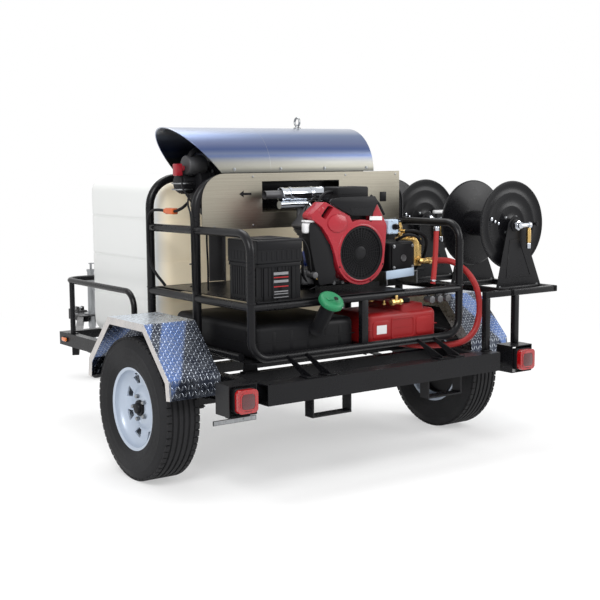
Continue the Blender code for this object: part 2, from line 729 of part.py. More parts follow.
def make_fender(side, name):
    line = [(-FENDER_KNEE_Y - 0.010, FENDER_LOW), (-FENDER_KNEE_Y, FENDER_KNEE_Z), (-FENDER_FLAT, FENDER_TOP),
            (FENDER_FLAT, FENDER_TOP), (FENDER_KNEE_Y, FENDER_KNEE_Z), (FENDER_KNEE_Y + 0.010, FENDER_LOW)]
    middle = side * (FENDER_IN + FENDER_OUT) / 2
    fender = plate([band(line, SHEET)], FENDER_OUT - FENDER_IN, (middle, 0.0, 0.0), "YZ")
    skirt = plate([band(line, SKIRT)], SHEET, (side * (FENDER_OUT - SHEET / 2), 0.0, 0.0), "YZ")
    inner = plate([band(line, 2 * SKIRT)], SHEET, (side * (FENDER_IN + SHEET / 2), 0.0, 0.0), "YZ")
    fuse(fender, skirt, inner)
    finish(fender, name, TREAD_PLATE)


# ------------------------------------------------------------------ lights
def make_tail_light(side, name):
    rear = LIGHT_REAR - 0.045
    half = LAMP_W / 2
    floor = LIGHT_LOW + LIGHT_WALL + FIT
    outer = side * (LIGHT_IN + LIGHT_WALL + FIT)
    low_x, high_x = sorted((outer, outer + side * LAMP_W))
    lamp = block((low_x, rear, floor), (high_x, rear + LAMP_DEPTH, floor + LAMP_W), 0.010, 1)
    lens = turned([(0.0, 0.004), (half * 0.62, 0.002), (half * 0.70, -0.006), (0.0, -0.006)],
                  ((low_x + high_x) / 2, rear, floor + half), "Y", 16)
    cut(lamp, lens)
    finish(lamp, name, RED_LENS)


def make_marker(side, name):
    x = side * (RAIL_REACH + FIT)
    low_x, high_x = sorted((x, x + side * 0.014))
    z = (RAIL_LOW + RAIL_TOP) / 2
    lamp = block((low_x, MARKER_Y - 0.030, z - 0.014), (high_x, MARKER_Y + 0.030, z + 0.014), 0.005, 1)
    finish(lamp, name, AMBER_LENS)


def plate_bar():
    """Number-plate bar welded under the left lamp box."""
    z = LIGHT_LOW
    bar = block((-1.020, LIGHT_REAR - 0.008, z - 0.022), (-0.800, LIGHT_REAR - 0.003, z - 0.001))
    return fuse(bar, block((-0.930, LIGHT_REAR - 0.006, z - 0.005), (-0.830, LIGHT_REAR + 0.040, z + 0.002)))


# ------------------------------------------------------------------ hitch and jack
def make_coupler():
    rear = TONGUE_END_Y + FIT
    nose_y = COUPLER_NOSE - COUPLER_HALF
    body = block((-COUPLER_HALF, rear, TONGUE_LOW), (COUPLER_HALF, nose_y, TONGUE_TOP + 0.010), 0.006, 1)
    fuse(body, rod(COUPLER_HALF, TONGUE_TOP + 0.010 - TONGUE_LOW, (0.0, nose_y, (TONGUE_TOP + 0.010 + TONGUE_LOW) / 2), "Z", 16))
    cut(body, rod(BALL_R + 0.001, 0.100, (0.0, nose_y - 0.004, TONGUE_LOW), "Z", 16))
    ears = TONGUE_TOP + 0.010
    for side in (-1, 1):
        x = side * 0.018
        fuse(body, block((x - 0.003, rear + 0.020, ears - LAP), (x + 0.003, rear + 0.060, ears + 0.026)))
    fuse(body, rod(0.004, 0.050, (0.0, rear + 0.040, ears + 0.014), "X", 8))
    finish(body, "coupler", BLACK_PAINT)


def make_coupler_latch():
    ears = TONGUE_TOP + 0.010
    pivot = (0.0, TONGUE_END_Y + FIT + 0.040, ears + 0.014)
    latch = rod(0.010, 2 * (0.015 - RUN), pivot, "X", 12)
    fuse(latch, block((-0.013, pivot[1] - 0.002, ears + 0.010), (0.013, pivot[1] + 0.100, ears + 0.018), 0.003, 1))
    cut(latch, rod(0.004 + RUN, 0.080, pivot, "X", 8))
    finish(latch, "coupler_latch", ZINC, pivot)


def make_jack():
    foot = (0.0, JACK_Y)
    seat = TONGUE_TOP + LAP + FIT
    bore = JACK_R - JACK_WALL
    pin = 0.008 + RUN
    tube = turned([(JACK_R + 0.004, JACK_TOP), (JACK_R + 0.004, JACK_TOP - 0.014), (JACK_R, JACK_TOP - 0.014),
                   (JACK_R, seat + 0.006), (0.055, seat + 0.006), (0.055, seat), (JACK_R, seat), (JACK_R, JACK_LOW),
                   (bore, JACK_LOW), (bore, JACK_TOP - 0.008), (pin, JACK_TOP - 0.008), (pin, JACK_TOP)],
                  (*foot, 0.0), "Z", 14, True)
    finish(tube, "jack_tube", ZINC)

    crank = rod(0.008, 0.070, (*foot, JACK_TOP + 0.010), "Z", 10)
    fuse(crank, box((0.150, 0.016, 0.008), (0.060, JACK_Y, JACK_TOP + 0.041), 0.002, 1))
    fuse(crank, rod(0.010, 0.075, (0.125, JACK_Y, JACK_TOP + 0.078), "Z", 10))
    finish(crank, "jack_crank", ZINC, (*foot, JACK_TOP))

    leg_low = JACK_WHEEL_R * 2 + 0.024
    leg = rod(JACK_LEG_R, 0.360, (*foot, leg_low + 0.180), "Z", 14)
    cut(leg, rod(0.011, 0.300, (*foot, leg_low + 0.260), "Z", 10))
    finish(leg, "jack_leg", ZINC, (*foot, leg_low))

    wheel_y = JACK_Y - CASTER_TRAIL
    fork_top = leg_low - FIT
    fork = block((-0.030, JACK_Y - 0.055, fork_top - 0.006), (0.030, JACK_Y + 0.028, fork_top), 0.0)
    for side in (-1, 1):
        low_x, high_x = sorted((side * 0.026, side * 0.030))
        fuse(fork, block((low_x, wheel_y - 0.018, JACK_WHEEL_R - 0.016), (high_x, wheel_y + 0.022, fork_top - 0.002)))
    fuse(fork, rod(0.006, 0.060, (0.0, wheel_y, JACK_WHEEL_R), "X", 10))
    finish(fork, "jack_fork", ZINC, (*foot, fork_top))

    half = JACK_WHEEL_W / 2
    wheel = turned([(0.006 + RUN, -half), (JACK_WHEEL_R - 0.012, -half), (JACK_WHEEL_R, -half + 0.010),
                    (JACK_WHEEL_R, half - 0.010), (JACK_WHEEL_R - 0.012, half), (0.006 + RUN, half)],
                   (0.0, wheel_y, JACK_WHEEL_R), "X", 16, True)
    finish(wheel, "jack_wheel", BLACK_POLY, (0.0, wheel_y, JACK_WHEEL_R))


# ------------------------------------------------------------------ guard rail and skid frame
def make_guard_rail():
    foot = RAIL_TOP + FIT
    corners = [(-GUARD_X, GUARD_REAR, foot), (-GUARD_X, GUARD_REAR, GUARD_TOP), (-GUARD_X, GUARD_FRONT, GUARD_TOP),
               (GUARD_X, GUARD_FRONT, GUARD_TOP), (GUARD_X, GUARD_REAR, GUARD_TOP), (GUARD_X, GUARD_REAR, foot)]
    rail = pipe(bent(corners, GUARD_BEND), GUARD_R)
    for x in (-GUARD_X, GUARD_X):
        height = GUARD_TOP - foot
        fuse(rail, rod(GUARD_R * 0.95, height, (x, GUARD_FRONT - GUARD_BEND, foot + height / 2), "Z", 8))
    finish(rail, "guard_rail", BLACK_PAINT)


def make_skid_frame():
    rear, front, side = SKID_REAR, SKID_FRONT, SKID_X
    corners = [(-side, front, SKID_RAIL - 0.010), (-side, rear, SKID_RAIL), (-side, rear, SKID_BASE),
               (side, rear, SKID_BASE), (side, rear, SKID_RAIL), (side, front, SKID_RAIL - 0.010)]
    frame = pipe(bent(corners, SKID_BEND), SKID_R)
    for y in (ARCH_REAR_Y, front):
        feet = SKID_BASE
        corners = [(-side, y, feet), (-side, y, ARCH_TOP), (side, y, ARCH_TOP), (side, y, feet)]
        fuse(frame, pipe(bent(corners, ARCH_BEND), ARCH_R))
    for x in (-side, side):
        length = front - rear - SKID_BEND
        fuse(frame, rod(SKID_R * 0.97, length, (x, front - length / 2, SKID_BASE), "Y", 8))
        fuse(frame, rod(SKID_R * 0.97, front - rear, (x, (front + rear) / 2, SKID_SHELF), "Y", 8))
    for y in (rear, front):
        fuse(frame, rod(SKID_R * 0.98, 2 * side, (0.0, y, SKID_SHELF), "X", 8))
    fuse(frame, rod(SKID_R * 0.98, 2 * side, (0.0, front, SKID_BASE), "X", 8))
    height = SKID_SHELF - SKID_BASE
    fuse(frame, box((0.040, 0.030, height), (0.010, rear, SKID_BASE + height / 2)))
    fuse(frame, box((0.040, 0.030, height), (0.010, front, SKID_BASE + height / 2)))
    fuse(frame, block((-side, rear, PAN_LOW), (side, front, PAN_TOP)))
    for x in FOOT_PLACES:
        fuse(frame, *skid_foot(x, CROSS_PLACES[0]), *skid_foot(x, CROSS_PLACES[2]))
    for x in GUSSET_PLACES:
        fuse(frame, *rear_gusset(x))
    finish(frame, "skid_frame", BLACK_PAINT)


def skid_foot(x, y):
    """A splayed foot that carries the skid's floor pan on the crossmember at y."""
    low = RAIL_TOP + FIT
    top = PAN_LOW + PAN / 2
    web = plate([[(x - 0.030, top), (x - 0.042, low), (x + 0.042, low), (x + 0.030, top)]], 0.008, (0.0, y, 0.0), "XZ")
    return [web, block((x - 0.045, y - 0.022, low), (x + 0.045, y + 0.022, low + 0.006))]


def rear_gusset(x):
    """A sloping gusset from the skid's rear tube down to the top of the rear beam."""
    low = BEAM_TOP + FIT
    front = BEAM_REAR + BEAM_DEPTH
    line = [(SKID_REAR, SKID_BASE), (front + 0.010, low + 0.001), (BEAM_REAR + 0.030, low + 0.001),
            (BEAM_REAR + 0.030, low + 0.012), (SKID_REAR - 0.020, SKID_BASE + 0.008)]
    web = plate([line], 0.008, (x, 0.0, 0.0), "YZ")
    return [web, block((x - 0.030, BEAM_REAR + 0.020, low), (x + 0.030, front - 0.004, low + 0.006))]


def make_engine_deck():
    rear = SKID_REAR - SKID_R
    low = DECK_TOP - PAN
    front = SKID_FRONT - 3 * SKID_R
    outline = [(-DECK_REACH, rear + PAN), (NOTCH_X, rear + PAN), (NOTCH_X, NOTCH_Y), (DECK_REACH, NOTCH_Y),
               (DECK_REACH, front), (-DECK_REACH, front)]
    deck = plate([outline], PAN, (0.0, 0.0, low + PAN / 2), "XY")
    inset = RISER_W * 0.875
    for y in (ENGINE_REAR + inset, ENGINE_FRONT - inset):
        low_corner = (CRANK_X - RISER_REACH, y - RISER_W / 2, DECK_TOP - LAP / 2)
        fuse(deck, block(low_corner, (CRANK_X + RISER_REACH, y + RISER_W / 2, DECK_TOP + RISER_H)))
    finish(deck, "engine_deck", BLACK_PAINT)


# ------------------------------------------------------------------ tanks and battery
def make_water_tank():
    low = RAIL_TOP + FIT
    tank = block((-TANK_X, TANK_REAR, low), (TANK_X, TANK_FRONT, TANK_TOP), 0.085, 3)
    middle_y = (TANK_REAR + TANK_FRONT) / 2
    fuse(tank, rod(TANK_NECK_R, TANK_NECK_H * 2, (0.0, middle_y, TANK_TOP), "Z", 20))
    wall = TANK_WALL
    cut(tank, block((-TANK_X + wall, TANK_REAR + wall, low + wall), (TANK_X - wall, TANK_FRONT - wall, TANK_TOP - wall),
                    0.070, 1))
    cut(tank, rod(TANK_NECK_R - wall, 0.200, (0.0, middle_y, TANK_TOP), "Z", 20))
    outlet_z = (RAIL_TOP + SKID_BASE - SKID_R) / 2
    fuse(tank, rod(0.020, 0.100, (OUTLET_X, OUTLET_Y + 0.050, outlet_z), "Y", 12))
    finish(tank, "water_tank", WHITE_POLY)

    rim = TANK_TOP + TANK_NECK_H + FIT
    lid = turned([(0.0, 0.024), (TANK_NECK_R - 0.012, 0.022), (TANK_NECK_R + 0.008, 0.014),
                  (TANK_NECK_R + 0.010, -0.016), (TANK_NECK_R + RUN, -0.016), (TANK_NECK_R + RUN, 0.0), (0.0, 0.0)],
                 (0.0, middle_y, rim), "Z", 20)
    finish(lid, "tank_lid", BLACK_POLY, (0.0, middle_y, rim))


def make_diesel_tank():
    low = PAN_TOP + FIT
    high = low + TANK_LOW_H
    tank = block((DIESEL_LEFT, DIESEL_REAR, low), (DIESEL_RIGHT, DIESEL_FRONT, high), 0.030, 2)
    away = Vector((0.0, -math.sin(NECK_TILT), math.cos(NECK_TILT)))
    start = Vector((DIESEL_NECK_X, DIESEL_REAR + 0.020, high - 0.080))
    turn = (NECK_TILT, 0.0, 0.0)
    fuse(tank, rod(NECK_R, NECK_LENGTH, start + away * NECK_LENGTH / 2, sides=16, turn=turn))
    wall = FUEL_WALL
    cut(tank, block((DIESEL_LEFT + wall, DIESEL_REAR + wall, low + wall), (DIESEL_RIGHT - wall, DIESEL_FRONT - wall, high - wall),
                    0.026, 1))
    cut(tank, rod(NECK_R - wall, NECK_LENGTH + 0.060, start + away * (NECK_LENGTH / 2), sides=16, turn=turn))
    finish(tank, "diesel_tank", BLACK_POLY)

    seat = start + away * (NECK_LENGTH + FIT)
    cap = turned([(0.0, 0.022), (DIESEL_CAP_R - 0.020, 0.021), (DIESEL_CAP_R, 0.013), (DIESEL_CAP_R, -0.011),
                  (NECK_R + RUN, -0.011), (NECK_R + RUN, 0.0), (0.0, 0.0)], (0.0, 0.0, 0.0), "Z", 16)
    cap.rotation_euler = turn
    cap.location = seat
    finish(cap, "diesel_cap", GREEN_CAP, seat)


def make_fuel_can():
    low = PAN_TOP + FIT
    high = low + TANK_LOW_H
    top = high + FUEL_HUMP_H
    can = block((FUEL_LEFT, FUEL_REAR, low), (FUEL_RIGHT, FUEL_FRONT, high), 0.028, 2)
    hump = [(FUEL_HUMP_LEFT - 0.010, high - 0.040), (FUEL_HUMP_RIGHT + 0.010, high - 0.040),
            (FUEL_HUMP_RIGHT, top), (FUEL_HUMP_LEFT, top)]
    fuse(can, plate([hump], FUEL_FRONT - FUEL_REAR - 0.020, (0.0, (FUEL_FRONT + FUEL_REAR) / 2, 0.0), "XZ"))
    spot = (FUEL_CAP_X, FUEL_CAP_Y, top)
    fuse(can, rod(FUEL_NECK_R, 0.024, (spot[0], spot[1], top), "Z", 16))
    wall = FUEL_WALL
    cut(can, block((FUEL_LEFT + wall, FUEL_REAR + wall, low + wall), (FUEL_RIGHT - wall, FUEL_FRONT - wall, high - wall), 0.023, 1))
    cut(can, rod(FUEL_NECK_R - wall, 0.160, (spot[0], spot[1], top - 0.010), "Z", 16))
    finish(can, "fuel_can", RED_POLY)

    seat = (spot[0], spot[1], top + 0.012 + FIT)
    cap = turned([(0.0, 0.014), (FUEL_CAP_R - 0.006, 0.014), (FUEL_CAP_R, 0.008), (FUEL_CAP_R, -0.009),
                  (FUEL_NECK_R + RUN, -0.009), (FUEL_NECK_R + RUN, 0.0), (0.0, 0.0)], seat, "Z", 16)
    finish(cap, "fuel_cap", BLACK_POLY, seat)


def make_battery():
    low = DECK_TOP + FIT
    case = block((CASE_LEFT, CASE_REAR, low), (CASE_RIGHT, CASE_FRONT, CASE_LIP), 0.0)
    inner_low = (CASE_LEFT + CASE_WALL, CASE_REAR + CASE_WALL, low + CASE_WALL)
    inner_high = (CASE_RIGHT - CASE_WALL, CASE_FRONT - CASE_WALL, CASE_LIP + 0.1)
    cut(case, block(inner_low, inner_high))
    for x in (CASE_LEFT + 0.040, (CASE_LEFT + CASE_RIGHT) / 2, CASE_RIGHT - 0.040):
        fuse(case, block((x - 0.010, CASE_REAR - 0.005, low), (x + 0.010, CASE_REAR + LAP / 2, CASE_LIP - 0.020)))
    finish(case, "battery_case", BLACK_POLY)

    gap = 0.0006
    cell = block((inner_low[0] + gap, inner_low[1] + gap, inner_low[2] + FIT),
                 (inner_high[0] - gap, inner_high[1] - gap, CASE_LIP - 0.012))
    for x in (CASE_LEFT + 0.050, CASE_RIGHT - 0.050):
        fuse(cell, rod(0.009, 0.030, (x, CASE_REAR + 0.050, CASE_LIP - 0.006), "Z", 12))
    finish(cell, "battery", BLACK_POLY)

    brim = LID_BRIM
    lid_low = CASE_LIP + FIT
    lid = block((CASE_LEFT - brim, CASE_REAR - brim, lid_low), (CASE_RIGHT + brim, CASE_FRONT + brim, CASE_TOP), 0.006, 2)
    cut(lid, block((CASE_LEFT + 0.002, CASE_REAR + 0.002, lid_low - 0.1), (CASE_RIGHT - 0.002, CASE_FRONT - 0.002, CASE_TOP - CASE_WALL)))
    middle = ((CASE_LEFT + CASE_RIGHT) / 2, (CASE_REAR + CASE_FRONT) / 2, lid_low)
    finish(lid, "battery_lid", BLACK_POLY, middle)


# ------------------------------------------------------------------ engine
def make_engine_block():
    low = DECK_TOP + RISER_H + FIT
    block_top = CRANK_Z + 0.070
    engine = block((CRANK_X - CASE_HALF, ENGINE_REAR, low), (CRANK_X + CASE_HALF, ENGINE_FRONT, block_top), 0.020, 2)
    depth = ENGINE_FRONT - ENGINE_REAR
    middle_y = (ENGINE_FRONT + ENGINE_REAR) / 2
    axis = Vector((CRANK_X, middle_y, CRANK_Z))
    for side in (-1, 1):
        lean = (0.0, side * BANK_ANGLE, 0.0)
        out = Vector((side * math.sin(BANK_ANGLE), 0.0, math.cos(BANK_ANGLE)))
        fuse(engine, box((0.120, depth * 0.60, 0.160), axis + out * (BANK_REACH - 0.080), 0.0, turn=lean))
        for fin in range(FIN_COUNT):
            centre = axis + out * (BANK_REACH - 0.110 + 0.022 * fin)
            fuse(engine, box((0.150, depth * 0.72, 0.005), centre, 0.0, turn=lean))
        fuse(engine, box((0.140, depth * 0.70, 0.035), axis + out * (BANK_REACH - 0.018), 0.006, 1, turn=lean))
        port = axis + out * (BANK_REACH - 0.050)
        port_rear = middle_y + depth * 0.30 - LAP
        port_y = MUFFLER_Y - 0.005
        port_top = MUFFLER_Z - MUFFLER_R - 0.030
        fuse(engine, rod(PORT_R, port_y - port_rear, (port.x, (port_y + port_rear) / 2, port.z), "Y", 10))
        fuse(engine, rod(PORT_R + 0.001, port_top - port.z, (port.x, port_y, (port_top + port.z) / 2), "Z", 10))
    intake_top = CLEANER_LOW - FIT
    fuse(engine, block((CRANK_X - 0.045, middle_y - 0.060, block_top - 0.010), (CRANK_X + 0.045, middle_y + 0.010, intake_top), 0.008, 1))
    fuse(engine, rod(0.036, 0.150, (CRANK_X - CASE_HALF - 0.022, middle_y - 0.020, low + 0.060), "Y", 14))
    cut(engine, rod(CRANK_R + RUN, 1.0, (CRANK_X, middle_y, CRANK_Z), "Y", 16))
    finish(engine, "engine_block", GREY_CAST)


def make_engine_shroud():
    """The blower housing: a round fan mouth that widens over both cylinder banks."""
    x, z = CRANK_X, CRANK_Z
    outline = arc((x, z), 0.158, 205.0, 335.0, 10)
    outline += [(x + 0.163, z + 0.040), (x + 0.162, z + 0.150), (x + 0.095, z + 0.241), (x + 0.070, z + 0.187),
                (x - 0.070, z + 0.187), (x - 0.215, z + 0.257), (x - 0.258, z + 0.252), (x - 0.308, z + 0.195),
                (x - 0.243, z + 0.140), (x - 0.190, z + 0.070), (x - 0.162, z + 0.005)]
    depth = ENGINE_REAR - FIT - SHROUD_REAR
    shroud = plate([outline, ring((x, z), FAN_R + 0.006, 24)], depth, (0.0, SHROUD_REAR + depth / 2, 0.0), "XZ")
    edge = shroud.modifiers.new("rounding", "BEVEL")
    edge.width = 0.012
    edge.segments = 1
    edge.limit_method = "ANGLE"
    edge.angle_limit = math.radians(60.0)
    shroud = settle(shroud)
    finish(shroud, "engine_shroud", RED_COVER)


def make_fan_screen():
    nose = SHROUD_REAR + 0.012
    screen = turned([(0.0, 0.010), (0.050, 0.010), (FAN_R - 0.020, 0.014), (FAN_R, 0.020), (FAN_R, 0.060),
                     (FAN_R - 0.004, 0.060), (FAN_R - 0.004, 0.024), (0.036, 0.016), (0.030, 0.028), (0.0, 0.028)],
                    (CRANK_X, nose, CRANK_Z), "Y", 20)
    finish(screen, "fan_screen", BLACK_POLY, (CRANK_X, nose, CRANK_Z))


def make_crankshaft():
    rear = SHROUD_REAR + 0.012 + 0.028 + FIT
    front = BELT_Y + BELT_W / 2 + 0.010
    middle = (rear + front) / 2
    shaft = rod(CRANK_R, front - rear, (CRANK_X, middle, CRANK_Z), "Y", 16)
    half = BELT_W / 2
    lip = DRIVE_R + BELT_T + 0.003
    wheel = turned([(CRANK_R - 0.004, half + 0.006), (lip, half + 0.006), (lip, half + 0.001), (DRIVE_R, half + 0.001),
                    (DRIVE_R, -half - 0.001), (lip, -half - 0.001), (lip, -half - 0.006), (CRANK_R - 0.004, -half - 0.006)],
                   (CRANK_X, BELT_Y, CRANK_Z), "Y", 14, True)
    fuse(shaft, wheel)
    finish(shaft, "crankshaft", ZINC, (CRANK_X, middle, CRANK_Z))


def make_air_cleaner():
    cleaner = block((CLEANER_LEFT, CLEANER_REAR, CLEANER_LOW), (CLEANER_RIGHT, CLEANER_FRONT, CLEANER_TOP), 0.014, 2)
    rear = SHROUD_REAR - FIT
    brow = CLEANER_LOW + 0.024
    fascia = [(CRANK_X - 0.210, brow - 0.020), (CRANK_X - 0.068, brow - 0.093), (CRANK_X + 0.060, brow - 0.096),
              (CRANK_X + 0.080, brow - 0.060), (CRANK_X + 0.103, brow - 0.030), (CRANK_X + 0.080, brow),
              (CRANK_X - 0.120, brow), (CRANK_X - 0.195, brow - 0.008)]
    fuse(cleaner, plate([fascia], 0.010, (0.0, rear - 0.005, 0.0), "XZ"))
    fuse(cleaner, block((CRANK_X - 0.100, rear - 0.008, CLEANER_LOW + 0.001), (CRANK_X + 0.068, CLEANER_REAR + 0.015, brow - 0.002)))
    finish(cleaner, "air_cleaner", BLACK_POLY)


def make_muffler():
    length = MUFFLER_RIGHT - MUFFLER_LEFT
    half = length / 2
    muffler = turned([(0.0, half), (MUFFLER_R - 0.010, half), (MUFFLER_R, half - 0.010), (MUFFLER_R, -half + 0.010),
                      (MUFFLER_R - 0.010, -half), (TAILPIPE_R, -half), (TAILPIPE_R, -half - TAILPIPE_REACH),
                      (0.0, -half - TAILPIPE_REACH)],
                     ((MUFFLER_LEFT + MUFFLER_RIGHT) / 2, MUFFLER_Y, MUFFLER_Z), "X", 16)
    reach = (BANK_REACH - 0.050) * math.sin(BANK_ANGLE)
    low = MUFFLER_Z - MUFFLER_R - 0.030 + FIT
    spot_y = MUFFLER_Y - 0.005
    for side in (-1, 1):
        x = CRANK_X + side * reach
        fuse(muffler, rod(0.024, 0.006, (x, spot_y, low + 0.003), "Z", 10))
        route = bent([(x, spot_y, low + 0.002), (x, spot_y, low + 0.045), (CRANK_X - 0.060 + side * 0.020, MUFFLER_Y, MUFFLER_Z)], 0.022, 2)
        fuse(muffler, pipe(route, 0.015))
    finish(muffler, "muffler", CHROME)


def make_oil_filter():
    x = CRANK_X - CASE_HALF - FIT
    length = 0.078
    half = length / 2
    spot = (x - half, ENGINE_REAR + 0.060, CRANK_Z - 0.010)
    body = turned([(0.0, half), (FILTER_R - 0.004, half), (FILTER_R, half - 0.006), (FILTER_R, -half + 0.012),
                   (FILTER_R - 0.012, -half), (0.0, -half)], spot, "X", 14)
    finish(body, "oil_filter", BLUE_PAINT)


def make_controls():
    left = CRANK_X + 0.172 + FIT
    low = (left, SHROUD_REAR - 0.006, CRANK_Z + 0.085)
    high = (left + 0.066, SHROUD_REAR + 0.050, CRANK_Z + 0.157)
    finish(block(low, high, 0.005, 1), "control_box", PALE_PLATE)
    spot = ((low[0] + high[0]) / 2, low[1] - FIT, (low[2] + high[2]) / 2)
    key = rod(0.014, 0.012, (spot[0], spot[1] - 0.006, spot[2]), "Y", 16)
    fuse(key, block((spot[0] - 0.003, spot[1] - 0.030, spot[2] - 0.012), (spot[0] + 0.003, spot[1] - 0.010, spot[2] + 0.012)))
    finish(key, "control_key", BLACK_POLY, spot)


# ------------------------------------------------------------------ pump and belt drive
def make_pump():
    bracket_low = DECK_TOP + FIT
    bracket_top = PUMP_LOW - FIT
    bracket = block((PUMP_LEFT - 0.020, PUMP_REAR, bracket_top - 0.005), (PUMP_RIGHT + 0.020, PUMP_FRONT, bracket_top))
    for x in (PUMP_LEFT - 0.020, PUMP_RIGHT + 0.015):
        fuse(bracket, block((x, PUMP_REAR, bracket_low), (x + 0.005, PUMP_FRONT, bracket_top)))
    finish(bracket, "pump_bracket", ZINC)

    body = block((PUMP_LEFT, PUMP_REAR, PUMP_LOW), (PUMP_RIGHT, PUMP_FRONT, PUMP_TOP), 0.012, 2)
    for x, z in ((PUMP_LEFT + 0.020, PUMP_LOW + 0.020), (PUMP_RIGHT - 0.020, PUMP_LOW + 0.020),
                 (PUMP_LEFT + 0.020, PUMP_TOP - 0.020), (PUMP_RIGHT - 0.020, PUMP_TOP - 0.020)):
        fuse(body, rod(0.007, 0.016, (x, PUMP_REAR - 0.002, z), "Y", 6))
    cut(body, rod(PUMP_SHAFT_R + RUN, 0.120, (PUMP_SHAFT_X, PUMP_FRONT, PUMP_SHAFT_Z), "Y", 16))
    finish(body, "pump_body", BLACK_CAST)

    left = PUMP_RIGHT + FIT
    right = left + MANIFOLD_W
    rear, front = PUMP_REAR + 0.006, PUMP_FRONT - 0.006
    manifold = block((left, rear, PUMP_LOW + 0.020), (right, front, PUMP_TOP + 0.012), 0.004, 1)
    for index in range(3):
        y = rear + 0.030 + 0.050 * index
        fuse(manifold, rod(0.017, 0.020, (left + 0.024, y, PUMP_TOP + 0.016), "Z", 6))
        fuse(manifold, rod(0.015, 0.020, (right + 0.004, y, PUMP_TOP - 0.030), "X", 6))
    port_z = PUMP_LOW + 0.048
    fuse(manifold, rod(0.019, 0.026, (left + 0.026, rear - 0.006, port_z), "Y", 6))
    elbow = bent([(left + 0.026, rear, port_z), (left + 0.026, rear - 0.032, port_z), (right + 0.030, rear - 0.032, port_z)], 0.020, 4)
    fuse(manifold, pipe(elbow, 0.014))
    fuse(manifold, rod(0.020, 0.018, (right + 0.022, rear - 0.032, port_z), "X", 6))
    finish(manifold, "pump_manifold", BRASS)

    shaft_rear = PUMP_FRONT - 0.050
    shaft_front = BELT_Y + BELT_W / 2 + 0.010
    middle = (PUMP_SHAFT_X, (shaft_rear + shaft_front) / 2, PUMP_SHAFT_Z)
    pulley = rod(PUMP_SHAFT_R, shaft_front - shaft_rear, middle, "Y", 16)
    half = BELT_W / 2
    lip = DRIVEN_R + BELT_T + 0.003
    wheel = turned([(PUMP_SHAFT_R - 0.004, half + 0.006), (lip, half + 0.006), (lip, half + 0.001), (DRIVEN_R, half + 0.001),
                    (DRIVEN_R, -half - 0.001), (lip, -half - 0.001), (lip, -half - 0.006), (PUMP_SHAFT_R - 0.004, -half - 0.006)],
                   (PUMP_SHAFT_X, BELT_Y, PUMP_SHAFT_Z), "Y", 16, True)
    fuse(pulley, wheel)
    finish(pulley, "pump_pulley", ZINC, middle)


def wrap(first_r, second_r, steps):
    """The closed line of a belt round the crank pulley and the pump pulley."""
    first = Vector((CRANK_X, CRANK_Z))
    second = Vector((PUMP_SHAFT_X, PUMP_SHAFT_Z))
    run = second - first
    along = math.degrees(math.atan2(run.y, run.x))
    lean = math.degrees(math.asin((second_r - first_r) / run.length))
    line = arc(first, first_r, along + 90.0 + lean, along + 270.0 - lean, steps)
    return line + arc(second, second_r, along - 90.0 - lean, along + 90.0 + lean, steps)


def make_belt_and_guard():
    outer = wrap(DRIVE_R + BELT_T + RUN, DRIVEN_R + BELT_T + RUN, 12)
    inner = wrap(DRIVE_R + RUN, DRIVEN_R + RUN, 12)
    finish(plate([outer, inner], BELT_W, (0.0, BELT_Y, 0.0), "XZ"), "drive_belt", BELT_RUBBER)

    room = 0.022
    rear = BELT_Y - BELT_W / 2 - 0.010
    front = BELT_Y + BELT_W / 2 + 0.014
    depth = front + GUARD_WALL - rear
    guard = plate([wrap(DRIVE_R + room + GUARD_WALL, DRIVEN_R + room + GUARD_WALL, 8)], depth, (0.0, rear + depth / 2, 0.0), "XZ")
    hollow = front - rear + 0.1
    cut(guard, plate([wrap(DRIVE_R + room, DRIVEN_R + room, 8)], hollow, (0.0, front - hollow / 2, 0.0), "XZ"))
    foot_top = PUMP_SHAFT_Z - DRIVEN_R - room - 0.001
    fuse(guard, block((PUMP_SHAFT_X - 0.060, rear, DECK_TOP + FIT), (PUMP_SHAFT_X + 0.060, rear + 0.004, foot_top)))
    fuse(guard, block((PUMP_SHAFT_X - 0.060, rear, DECK_TOP + FIT), (PUMP_SHAFT_X + 0.060, rear + 0.040, DECK_TOP + FIT + 0.004)))
    finish(guard, "belt_guard", BLACK_PAINT)


def make_suction_hose():
    """The hose from the tank's outlet, under the skid and up its right side to the pump's inlet."""
    start_x = PUMP_RIGHT + FIT + MANIFOLD_W + 0.031 + FIT
    start_y = PUMP_REAR + 0.006 - 0.032
    start_z = PUMP_LOW + 0.048
    under = (RAIL_TOP + SKID_BASE - SKID_R) / 2
    start = Vector((start_x, start_y, start_z))
    end = Vector((OUTLET_X, OUTLET_Y - FIT, under))
    out_x = SKID_X + HOSE_SWING
    rear_y = SKID_REAR - FIT
    high, low = SKID_SHELF - start_z, SKID_BASE - SKID_R
    knots = [start + Vector((0.024, 0.0, 0.0)), (SKID_X + 0.045, start_y - 0.044, start_z - 0.008),
             (out_x - 0.055, start_y - 0.104, start_z + 0.38 * high), (out_x - 0.017, rear_y + 0.012, start_z + 0.93 * high),
             (out_x, rear_y - 0.002, low + 0.183), (out_x - 0.005, rear_y - 0.005, low + 0.103),
             (out_x - 0.030, rear_y - 0.002, low + 0.033), (out_x - 0.080, rear_y + 0.010, under + 0.0185),
             (SKID_X, rear_y + 0.025, under), (SKID_X - 0.090, rear_y + 0.050, under), (OUTLET_X + 0.040, rear_y + 0.105, under),
             (OUTLET_X + 0.002, rear_y + 0.220, under), (OUTLET_X, -0.060, under), (OUTLET_X, 0.140, under),
             (OUTLET_X, 0.340, under), end - Vector((0.0, 0.040, 0.0))]
    route = [start] + smooth_route(knots, 26) + [end]
    finish(pipe(route, HOSE_R), "suction_hose", RED_HOSE)


